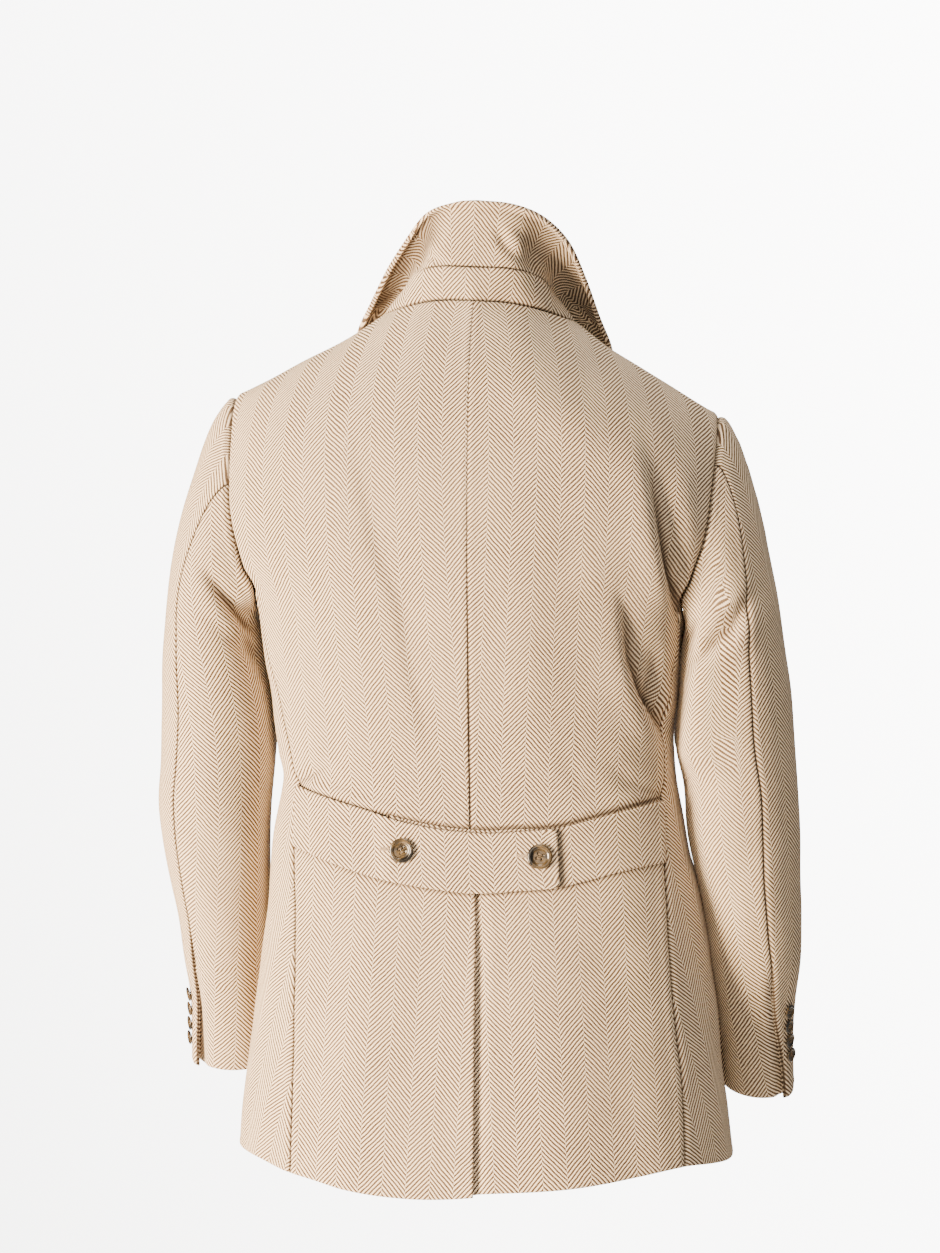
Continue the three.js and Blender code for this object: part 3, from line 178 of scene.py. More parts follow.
# run of the cloth: two places x, z on one column line of each piece; the line is a peak (^) or a dip (v) of the herringbone
GRAIN = {
    "back_upper_left": ((23.9, -116.6), (1.8, -446.9), "dip"),
    "back_upper_right": ((-20.7, -116.9), (-7.0, -446.9), "peak"),
    "back_skirt_left": ((22.0, -592.8), (29.2, -735.4), "peak"),
    "back_skirt_right": ((-13.9, -592.4), (-21.9, -734.4), "peak"),
    "sleeve_under_left": ((242.7, -454.0), (262.2, -692.5), "dip"),
    "sleeve_under_right": ((-224.5, -348.8), (-256.4, -650.7), "peak"),
}


# ------------------------------------------------------------------ curves
def herm(xs, ys, x):
    xs, ys = np.asarray(xs, float), np.asarray(ys, float)
    x = np.clip(np.asarray(x, float), xs[0], xs[-1])
    m = np.empty_like(ys)
    m[1:-1] = ((ys[2:] - ys[:-2]).T / (xs[2:] - xs[:-2])).T
    m[0], m[-1] = (ys[1] - ys[0]) / (xs[1] - xs[0]), (ys[-1] - ys[-2]) / (xs[-1] - xs[-2])
    i = np.clip(np.searchsorted(xs, x, side="right") - 1, 0, len(xs) - 2)
    h = xs[i + 1] - xs[i]
    t = (x - xs[i]) / h
    for _ in range(ys.ndim - 1):
        h, t = h[..., None], t[..., None]
    t2, t3 = t * t, t ** 3
    return (2 * t3 - 3 * t2 + 1) * ys[i] + (t3 - 2 * t2 + t) * h * m[i] + (-2 * t3 + 3 * t2) * ys[i + 1] + (t3 - t2) * h * m[i + 1]


def look(table, x, k):
    return herm(table[:, 0], table[:, k], x)


def smooth(a, b, x):
    t = np.clip((np.asarray(x, float) - a) / (b - a), 0, 1)
    return t * t * (3 - 2 * t)


def lerp(a, b, t):
    return a + (b - a) * t


def unit(v):
    return v / np.maximum(np.linalg.norm(v, axis=-1, keepdims=True), 1e-12)


def pair(a, b):
    a, b = np.broadcast_arrays(np.asarray(a, float), np.asarray(b, float))
    return np.stack([a, b], -1)


# ------------------------------------------------------------------ body form
def ridge(x):
    return herm(RIDGE[:, 0], RIDGE[:, 1], np.abs(x))


def body(phi, z, side):
    phi, z = np.broadcast_arrays(np.asarray(phi, float), np.asarray(z, float))
    half, behind, ahead, shift, tilt = (look(BODY, z, k) for k in range(1, 6))
    c, s = np.cos(np.radians(phi)), np.sin(np.radians(phi))
    depth = np.where(s >= 0, behind, ahead)
    r = (np.abs(c / half) ** N_BODY + np.abs(s / depth) ** N_BODY) ** (-1 / N_BODY)
    t = np.clip((ridge(r * c) - z) / RIDGE_H, 0, 1)
    y = r * s * np.sqrt(np.maximum(0, 1 - (1 - t) ** 2))
    X = shift + side * r * c
    return np.stack([X, y, z + tilt * X], -1)


def phi_of_x(X, z, side, back=True):
    half, shift = look(BODY, z, 1), look(BODY, z, 4)
    x = (np.asarray(X, float) - shift) * side
    y = look(BODY, z, 2 if back else 3) * np.maximum(0, 1 - np.abs(x / half) ** N_BODY) ** (1 / N_BODY)
    return np.degrees(np.arctan2(y if back else -y, x))


def phi_of_y(y, z):
    y = np.asarray(y, float)
    depth = np.where(y >= 0, look(BODY, z, 2), look(BODY, z, 3))
    x = look(BODY, z, 1) * np.maximum(0, 1 - np.abs(y / depth) ** N_BODY) ** (1 / N_BODY)
    return np.degrees(np.arctan2(y, x))


def body_normal(phi, z, side):
    p = body(phi, z, side)
    n = unit(np.cross(body(phi + 0.05, z, side) - body(phi - 0.05, z, side), body(phi, z + 0.05, side) - body(phi, z - 0.05, side)))
    away = p - np.stack([0 * p[..., 0], 0 * p[..., 0], np.minimum(p[..., 2], -60) - 60], -1)
    return n * np.where((n * away).sum(-1) > 0, 1.0, -1.0)[..., None]


# ------------------------------------------------------------------ seam lines, as phi and z
SHOULDER_X = float(look(BODY, -80, 1) * (1 - abs(48 / look(BODY, -80, 2)) ** N_BODY) ** (1 / N_BODY))


def shoulder(t, side, back=True):
    x = lerp(92.0, SHOULDER_X, np.asarray(t, float))
    z = ridge(x) - 0.0005
    return pair(phi_of_x(look(BODY, z, 4) + side * x, z, side, back), z)


def armhole(lam):
    lam = np.asarray(lam, float)
    steps = np.arange(17)
    z, y = herm(steps, ARMHOLE[:, 0], lam), herm(steps, ARMHOLE[:, 1], lam)
    out = pair(phi_of_y(y, z), z)
    ends = (lam <= 0) | (lam >= HOLE_STEPS)
    tip = np.where((lam <= 0)[..., None], shoulder(1, 1, True), shoulder(1, 1, False))
    return np.where(ends[..., None], tip, out)


def armhole_point(lam, side):
    q = armhole(lam)
    return body(q[..., 0], q[..., 1], side)


def side_x(z, side):
    return side * look(SIDE_SEAM, z, 1 if side > 0 else 2)


def centre_x(z):
    return look(CENTRE_SEAM, z, 1)


def side_seam(z, side):
    top = armhole(6.0)[0] - phi_of_x(side_x(-260.0, side), -260.0, side)
    return pair(phi_of_x(side_x(z, side), z, side) + top * smooth(-400, -260, z), z)


def belt_z(x, edge):
    if edge == "waist":
        return 0.5 * (look(BELT, x, 1) + look(BELT, x, 2))
    return look(BELT, x, 1 if edge == "top" else 2)


def hem_z(x):
    return look(HEM, x, 1)


def neck(lam, side):
    lam = np.asarray(lam, float)
    tb, tf = np.linspace(0, 1, len(NECK_BACK)), np.linspace(0, 1, len(NECK_FRONT))
    xb, zb = herm(tb, NECK_BACK[:, 0], lam), herm(tb, NECK_BACK[:, 1], lam)
    xf, zf = herm(tf, NECK_FRONT[:, 0], lam - 1), herm(tf, NECK_FRONT[:, 1], lam - 1)
    back = lam <= 1
    x, z = np.where(back, xb, xf), np.where(back, zb, zf)
    X = look(BODY, z, 4) + side * x
    return pair(np.where(back, phi_of_x(X, z, side, True), phi_of_x(X, z, side, False)), z)


def fill(bottom, top, first, last, u, v):
    """surface between four edges of [phi, z]; u across, v up, as shares"""
    u, v = u[None, :, None], v[:, None, None]
    return ((1 - v) * bottom[None] + v * top[None] + (1 - u) * first[:, None] + u * last[:, None]
            - ((1 - u) * (1 - v) * bottom[0] + u * (1 - v) * bottom[-1] + (1 - u) * v * top[0] + u * v * top[-1]))


EDGE_X = {1: float(side_x(-475, 1)), -1: float(side_x(-475, -1))}


def level_line(side, edge, t):
    z0 = belt_z(centre_x(-505.0), edge)
    x = lerp(centre_x(z0), EDGE_X[side], np.asarray(t, float))
    z = belt_z(x, edge)
    out = pair(phi_of_x(x, z, side), z)
    end = side_seam(belt_z(EDGE_X[side], edge), side)
    return np.where((np.asarray(t) >= 1)[..., None], end, out)


# ------------------------------------------------------------------ folds
def crease(folds, x, z):
    """depth at (x, z) of folds that run along lines of points"""
    out = np.zeros_like(x)
    for f in folds:
        pts = np.array(f["pts"], float)
        n = 6 * (len(pts) - 1) + 1
        s = np.linspace(0, len(pts) - 1, n)
        pts = np.stack([herm(np.arange(len(pts)), pts[:, k], s) for k in range(3)], -1)
        reach = 3.0 * max(f["left"], f["right"])
        box = ((x > pts[:, 0].min() - reach) & (x < pts[:, 0].max() + reach) & (z > pts[:, 1].min() - reach) & (z < pts[:, 1].max() + reach))
        if not box.any():
            continue
        px, pz = x[box], z[box]
        best, depth, sign = np.full(px.shape, 1e9), np.zeros(px.shape), np.ones(px.shape)
        for a, b in zip(pts[:-1], pts[1:]):
            ax, az = b[0] - a[0], b[1] - a[1]
            t = np.clip(((px - a[0]) * ax + (pz - a[1]) * az) / max(ax * ax + az * az, 1e-9), 0, 1)
            dx, dz = px - a[0] - ax * t, pz - a[1] - az * t
            d = np.hypot(dx, dz)
            near = d < best
            best = np.where(near, d, best)
            depth = np.where(near, a[2] + (b[2] - a[2]) * t, depth)
            sign = np.where(near, -np.sign(ax * dz - az * dx), sign)
        # left of the line is towards +X when the line runs down
        width = np.where(sign * np.sign(pts[-1, 1] - pts[0, 1]) > 0, f["left"], f["right"])
        out[box] += depth * np.exp(-((best / width) ** 2))
    return out


def ripple(x, z, seed, size, depth):
    """very soft unevenness of worn cloth: a few sine waves with fixed directions"""
    rng = np.random.default_rng(seed)
    out = np.zeros_like(x)
    for _ in range(7):
        a, k, ph = rng.uniform(0, math.pi), 2 * math.pi / (size * rng.uniform(0.7, 1.7)), rng.uniform(0, 6.28)
        out += np.sin(k * (x * math.cos(a) + z * math.sin(a)) + ph)
    return depth * out / 7


def fullness(p):
    """cloth that hangs from each armhole beside the sleeve and ends above the waist"""
    x, y, z = p[..., 0], p[..., 1], p[..., 2]
    left = np.where(x > 0, 3.2 * smooth(-438, -408, z) * (1 - smooth(-300, -258, z)), 0)
    right = np.where(x < 0, 2.8 * smooth(-428, -392, z) * (1 - smooth(-308, -268, z)), 0)
    middle = lerp(30, 46, smooth(-335, -285, z))
    # the right side swings out to the cuff
    low = np.where(x < 0, 4.4 * smooth(-500, -560, z) * (1 - smooth(-650, -720, z)) * np.exp(-(((y - 4) / 36.0) ** 2)), 0)
    return ((left + right) * np.exp(-(((y - middle) / 20.0) ** 2)) + low) * smooth(120, 165, np.abs(x))


RIM = {}


def clear_of_armhole(p):
    """0 on the armhole's edge, where the sleeve joins, 1 a little away from it"""
    if not RIM:
        for side in (1, -1):
            RIM[side] = armhole_point(np.linspace(0, HOLE_STEPS, 129), side)
    flat = p.reshape(-1, 3)
    far = np.full(len(flat), 99.0)
    for side in (1, -1):
        near = np.nonzero((flat[:, 0] * side > 140) & (flat[:, 2] > -320))[0]
        for part in np.array_split(near, max(1, len(near) // 2000)):
            if len(part):
                far[part] = np.linalg.norm(flat[part][:, None] - RIM[side][None], axis=-1).min(1)
    return smooth(1.0, 15.0, far).reshape(p.shape[:-1])


def body_folds(p):
    back = smooth(10, 45, p[..., 1])
    ahead = smooth(10, 45, -p[..., 1])
    return clear_of_armhole(p) * (back * crease(FOLDS, p[..., 0], p[..., 2]) + ahead * crease(FRONT_FOLDS, p[..., 0], p[..., 2])
            + fullness(p) + ripple(p[..., 0] + 0.6 * p[..., 1], p[..., 2], 5, 70, 1.0))


# ------------------------------------------------------------------ flat cut of a piece
def picks(arc, gap):
    """indices of places about gap apart, with both ends"""
    n = max(2, int(round(arc[-1] / gap)))
    k = np.unique([int(np.argmin(np.abs(arc - arc[-1] * i / n))) for i in range(n + 1)])
    return k


def flatten(P, gap=15.0, rounds=700, foot=0):
    """lays a grid of points flat with its lengths kept, from its first or last row; gives the flat place of every grid point"""
    m, n = P.shape[:2]
    du = np.linalg.norm(np.diff(P, axis=1), axis=-1)
    dv = np.linalg.norm(np.diff(P, axis=0), axis=-1)
    cu = np.concatenate([np.zeros((m, 1)), np.cumsum(du, 1)], 1)
    cv = np.concatenate([np.zeros((1, n)), np.cumsum(dv, 0)], 0)
    su, sv = cu.mean(0), cv.mean(1)
    cols, rows = picks(su, gap), picks(sv, gap)
    C = P[np.ix_(rows, cols)]
    gu, gv = cu[np.ix_(rows, cols)], cv[np.ix_(rows, cols)]
    lu, lv = gu[:, 1:] - gu[:, :-1], gv[1:] - gv[:-1]
    ru = lu / np.maximum(np.linalg.norm(C[:, 1:] - C[:, :-1], axis=-1), 1e-6)
    rv = lv / np.maximum(np.linalg.norm(C[1:] - C[:-1], axis=-1), 1e-6)
    more = 0.25 * (ru[1:] + ru[:-1] + rv[:, 1:] + rv[:, :-1])
    d1 = np.linalg.norm(C[1:, 1:] - C[:-1, :-1], axis=-1) * more
    d2 = np.linalg.norm(C[1:, :-1] - C[:-1, 1:], axis=-1) * more
    mid = len(cols) // 2
    own = gv - gv[foot] + gv[foot, mid]
    X = np.stack([gu - gu[:, mid:mid + 1], 0.75 * own + 0.25 * gv[:, mid:mid + 1]], -1)
    links = [((slice(None), slice(0, -1)), (slice(None), slice(1, None)), lu, 1.0), ((slice(0, -1), slice(None)), (slice(1, None), slice(None)), lv, 1.0),
             ((slice(0, -1), slice(0, -1)), (slice(1, None), slice(1, None)), d1, 0.7), ((slice(1, None), slice(0, -1)), (slice(0, -1), slice(1, None)), d2, 0.7)]
    count = np.zeros(X.shape[:2])
    for a, b, length, w in links:
        count[a] += w
        count[b] += w
    count = count[..., None]
    old = X.copy()
    for k in range(rounds):
        move = np.zeros_like(X)
        for a, b, length, w in links:
            d = X[b] - X[a]
            now = np.maximum(np.linalg.norm(d, axis=-1), 1e-9)
            c = (0.5 * w * (now - length) / now)[..., None] * d
            move[a] += c
            move[b] -= c
        new = X + 1.7 * move / count + (0.86 if 8 < k < rounds - 100 else 0.0) * (X - old)
        old, X = X, new
    up = herm(sv[rows], X, sv) if len(rows) > 2 else X[0] + (X[-1] - X[0]) * (sv / sv[-1])[:, None, None]
    return np.swapaxes(herm(su[cols], np.swapaxes(up, 0, 1), su), 0, 1)



def grain_of(name, P, N, flat, centre=None):
    """turns the flat cut so that the cloth's columns run as they do on the garment; gives (U, V) in mm"""
    Q = flat.copy()
    if name in GRAIN:
        a, b, kind = GRAIN[name]
        away = [np.hypot(P[..., 0] - x, P[..., 2] - z) + np.where(N[..., 1] < 0.02, 1e3, 0) for x, z in (a, b)]
        ia, ib = (np.unravel_index(np.argmin(w), w.shape) for w in away)
        hi, lo = Q[ia], Q[ib]
    else:
        kind = "peak"
        hi, lo = Q[-1, Q.shape[1] // 2], Q[0, Q.shape[1] // 2]
        if centre is not None:
            hi, lo = Q[centre[0]], Q[centre[1]]
    d = hi - lo
    ang = math.atan2(d[0], d[1])
    c, s = math.cos(ang), math.sin(ang)
    R = np.stack([Q[..., 0] * c - Q[..., 1] * s, Q[..., 0] * s + Q[..., 1] * c], -1)
    base = np.array([hi[0] * c - hi[1] * s, hi[0] * s + hi[1] * c])
    R = R - base
    # U grows towards the wearer's right where the piece faces back, so that the pattern isn't mirrored
    if mirrored(P, R):
        R[..., 0] *= -1
    R[..., 0] += {"peak": 44.0 * 200, "dip": 44.0 * 200 + 22.0}[kind]
    return R


def mirrored(P, R):
    """whether (U, V) turns the wrong way round, seen from outside"""
    j, i = P.shape[0] // 2, P.shape[1] // 2
    u = R[j, min(i + 1, R.shape[1] - 1)] - R[j, i]
    v = R[min(j + 1, R.shape[0] - 1), i] - R[j, i]
    return (u[0] * v[1] - u[1] * v[0]) * OUTWARD[0] < 0


OUTWARD = [1.0]


def flat_facts(R, P, mask=None):
    """width, length and area of the flat cut, in metres"""
    ok = np.ones(R.shape[:2], bool) if mask is None else mask
    a, b, c, d = R[:-1, :-1], R[:-1, 1:], R[1:, 1:], R[1:, :-1]
    cell = ok[:-1, :-1] & ok[:-1, 1:] & ok[1:, 1:] & ok[1:, :-1]
    cross = lambda p, q: p[..., 0] * q[..., 1] - p[..., 1] * q[..., 0]
    area = np.abs(0.5 * (cross(b - a, c - a) + cross(c - a, d - a)))[cell].sum()
    w, l = np.ptp(R[ok][:, 0]), np.ptp(R[ok][:, 1])
    return float(w) * MM, float(l) * MM, float(area) * MM * MM


# ------------------------------------------------------------------ grids
FINE = np.array([0, 0.12, 0.45, 0.95, 1.6, 2.6, 4.2, 6.6])


def stops(length, first=True, last=True, cell=CELL):
    """shares from 0 to 1 with close places near the chosen ends"""
    head = FINE if first else np.array([0.0])
    tail = length - FINE[::-1] if last else np.array([length])
    a, b = head[-1], tail[0]
    n = max(1, int(round((b - a) / cell)))
    inner = np.linspace(a, b, n + 1)[1:-1]
    return np.concatenate([head, inner, tail]) / length


def edge_arcs(P):
    """distance of every grid point from the four edges of its grid"""
    du, dv = np.linalg.norm(np.diff(P, axis=1), axis=-1), np.linalg.norm(np.diff(P, axis=0), axis=-1)
    zu, zv = np.zeros((P.shape[0], 1)), np.zeros((1, P.shape[1]))
    l = np.concatenate([zu, np.cumsum(du, 1)], 1)
    b = np.concatenate([zv, np.cumsum(dv, 0)], 0)
    return dict(l=l, r=l[:, -1:] - l, b=b, t=b[-1:] - b)


def rounded(d, r):
    d = np.clip(d, 0, r)
    return r - np.sqrt(np.maximum(0, r * r - (r - d) ** 2))


def edge_drop(kind, d, thick):
    """how far the outer and the inner face step in at a distance from an edge"""
    if kind == "seam":            # sewn: both edges turn in and leave a narrow groove between soft shoulders
        return 1.1 * rounded(d, 1.5) + 0.55 * np.exp(-d / 1.4) - 0.35 * np.exp(-(((d - 5.0) / 2.6) ** 2)), 0 * d
    if kind == "deep":            # sewn with fullness: the armholes and the side-back seams
        return 0.9 * rounded(d, 1.6) + 1.0 * np.exp(-d / 1.8) - 0.7 * np.exp(-(((d - 5.6) / 2.6) ** 2)), 0 * d
    if kind == "free":            # a turned edge, round
        r = thick / 2
        bead = -0.35 * np.exp(-(((d - 3.2) / 1.8) ** 2))
        return rounded(d, r) + bead, rounded(d, r)
    if kind == "bead":            # the collar's edge: a fuller turned band
        r = thick / 2
        return rounded(d, r) - 1.9 * np.exp(-(((d - 2.4) / 2.2) ** 2)) + 1.2 * np.exp(-(((d - 7.5) / 2.6) ** 2)), rounded(d, r)
    return 0 * d, 0 * d


PIECES = {}


def shell(name, P, N, thick, edges, uv, material, mask=None, extra=None, pull=0.34, painted_shade=None, paler_shade_edges=""):
    """a closed piece of cloth from outer points and normals, with painted shade in its colour: the shade mask says how
    much a place is darkened as if the cloth beside it hid it from light, every sewn edge gets a painted dark line, and
    the seams named last, which are pressed more open, get a paler one"""
    m, n = P.shape[:2]
    ok = np.ones((m, n), bool) if mask is None else mask
    arcs = edge_arcs(P)
    if extra:
        arcs.update(extra)
    drop, rise = np.zeros((m, n)), np.zeros((m, n))
    for key, kind in edges.items():
        a, b = edge_drop(kind, arcs[key], thick)
        drop += a
        rise += b
    rise = np.minimum(rise, thick * 0.5)
    drop = np.minimum(drop, thick + 0.4)
    painted_shade = np.zeros((m, n)) if painted_shade is None else np.clip(painted_shade, 0, 1)
    # painted shade: a dark line painted along every sewn edge, where the groove between the pieces would be in shade
    for key, kind in edges.items():
        if kind in ("seam", "deep"):
            painted_shade = np.maximum(painted_shade, (0.86 if kind == "seam" else 0.66) * (0.62 if key in paler_shade_edges else 1) * np.exp(-((arcs[key] / 1.25) ** 4)))
    inner = P - N * (thick - rise)[..., None]
    room = np.minimum(drop, thick - rise - 0.05)
    outer = P - N * room[..., None]
    # each edge stands back a little from its seam line
    for key, kind in edges.items():
        if kind in ("seam", "deep") and key in "lrbt":
            s = {"l": (slice(None), 0, slice(None), 1), "r": (slice(None), -1, slice(None), -2), "b": (0, slice(None), 1, slice(None)), "t": (-1, slice(None), -2, slice(None))}[key]
            d = unit(P[s[2], s[3]] - P[s[0], s[1]])
            outer[s[0], s[1]] += d * pull
            inner[s[0], s[1]] -= d * (2.0 if kind == "deep" else 1.3)
    idx = np.full((m, n), -1)
    idx[ok] = np.arange(ok.sum())
    cnt = int(ok.sum())
    cell = ok[:-1, :-1] & ok[:-1, 1:] & ok[1:, 1:] & ok[1:, :-1]
    a, b, c, d = idx[:-1, :-1][cell], idx[:-1, 1:][cell], idx[1:, 1:][cell], idx[1:, :-1][cell]
    faces = [np.stack([a, b, c, d], -1), np.stack([a, d, c, b], -1) + cnt]
    pad = np.zeros((m + 1, n + 1), bool)
    pad[1:m, 1:n] = cell
    jj, ii = np.nonzero(cell)
    for dj, di, e in ((-1, 0, (0, 0, 0, 1)), (1, 0, (1, 1, 1, 0)), (0, -1, (1, 0, 0, 0)), (0, 1, (0, 1, 1, 1))):
        bare = ~pad[jj + 1 + dj, ii + 1 + di]
        j, i = jj[bare], ii[bare]
        p, q = idx[j + e[0], i + e[1]], idx[j + e[2], i + e[3]]
        faces.append(np.stack([q, p, p + cnt, q + cnt], -1))
    faces = np.concatenate(faces)
    co = np.concatenate([outer[ok], inner[ok]]) * MM
    # turn the faces outwards
    if (np.cross(co[c] - co[a], co[d] - co[b]) * N[jj, ii]).sum() < 0:
        faces = faces[:, ::-1]
    uvs = np.concatenate([uv[ok], uv[ok]]) * MM
    # the painted shade goes on the outer face only, as the first part of the place attribute
    painted_shade_per_vertex = np.concatenate([painted_shade[ok], 0 * painted_shade[ok]])
    ob = make(name, co, faces, uvs, material, attribute=np.stack([painted_shade_per_vertex, 0 * painted_shade_per_vertex, 0 * painted_shade_per_vertex], -1))
    PIECES[name] = dict(object=ob, facts=flat_facts(uv, P, ok))
    return ob


def make(name, co, faces, uvs, material, attribute=None):
    me = bpy.data.meshes.new(name)
    me.vertices.add(len(co))
    me.vertices.foreach_set("co", np.asarray(co, np.float32).ravel())
    f = np.asarray(faces, np.int32)
    me.loops.add(f.size)
    me.loops.foreach_set("vertex_index", f.ravel())
    me.polygons.add(len(f))
    me.polygons.foreach_set("loop_start", np.arange(0, f.size, f.shape[1], dtype=np.int32))
    me.polygons.foreach_set("use_smooth", np.ones(len(f), bool))
    if uvs is not None:
        layer = me.uv_layers.new(name="grain")
        layer.data.foreach_set("uv", np.asarray(uvs, np.float32)[f.ravel()].ravel())
    if attribute is not None:
        at = me.attributes.new("place", "FLOAT_VECTOR", "POINT")
        at.data.foreach_set("vector", np.asarray(attribute, np.float32).ravel())
    me.update()
    me.validate()
    me.materials.append(material)
    ob = bpy.data.objects.new(name, me)
    bpy.context.scene.collection.objects.link(ob)
    return ob


# ------------------------------------------------------------------ materials
class Net:
    """small helper for node trees"""
    def __init__(self, name):
        self.mat = bpy.data.materials.new(name)
        self.mat.use_nodes = True
        self.tree = self.mat.node_tree
        self.tree.nodes.clear()
        self.out = self.tree.nodes.new("ShaderNodeOutputMaterial")
        self.bsdf = self.tree.nodes.new("ShaderNodeBsdfPrincipled")
        self.tree.links.new(self.bsdf.outputs[0], self.out.inputs[0])

    def put(self, socket, value):
        if isinstance(value, bpy.types.NodeSocket):
            self.tree.links.new(value, socket)
        elif value is not None:
            socket.default_value = value

    def m(self, op, a, b=None, c=None, clamp=False):
        n = self.tree.nodes.new("ShaderNodeMath")
        n.operation, n.use_clamp = op, clamp
        for k, v in enumerate((a, b, c)):
            if v is not None:
                self.put(n.inputs[k], v)
        return n.outputs[0]

    def ramp(self, x, a, b, lo=0.0, hi=1.0):
        n = self.tree.nodes.new("ShaderNodeMapRange")
        n.interpolation_type = "SMOOTHSTEP"
        for k, v in enumerate((x, a, b, lo, hi)):
            self.put(n.inputs[k], v)
        return n.outputs[0]

    def noise(self, vec, scale, detail=2.0, rough=0.5, distort=0.0):
        n = self.tree.nodes.new("ShaderNodeTexNoise")
        self.put(n.inputs["Vector"], vec)
        n.inputs["Scale"].default_value = scale
        n.inputs["Detail"].default_value = detail
        n.inputs["Roughness"].default_value = rough
        n.inputs["Distortion"].default_value = distort
        return n.outputs["Fac"]

    def xyz(self, x=0.0, y=0.0, z=0.0):
        n = self.tree.nodes.new("ShaderNodeCombineXYZ")
        for k, v in enumerate((x, y, z)):
            self.put(n.inputs[k], v)
        return n.outputs[0]

    def mix(self, fac, a, b):
        n = self.tree.nodes.new("ShaderNodeMix")
        n.data_type = "RGBA"
        self.put(n.inputs[0], fac)
        for k, v in ((6, a), (7, b)):
            self.put(n.inputs[k], (*v, 1.0) if isinstance(v, tuple) and len(v) == 3 else v)
        return n.outputs[2]

    def bump(self, height, strength, distance):
        n = self.tree.nodes.new("ShaderNodeBump")
        n.inputs["Strength"].default_value = strength
        n.inputs["Distance"].default_value = distance
        self.put(n.inputs["Height"], height)
        self.put(self.bsdf.inputs["Normal"], n.outputs[0])


def srgb(r, g, b):
    f = lambda c: (c / 255 / 12.92) if c / 255 <= 0.04045 else ((c / 255 + 0.055) / 1.055) ** 2.4
    return (f(r), f(g), f(b))


COLUMN, PERIOD, SLOPE = 22.0, 4.55, 1.08
# the last colour is both the dark flecks of the tan yarn and the colour that all painted shade darkens towards
LIGHT_YARN, TAN_YARN, DARK_FLECK_AND_SHADE = (0.92, 0.755, 0.56), (0.066, 0.040, 0.024), (0.034, 0.021, 0.013)


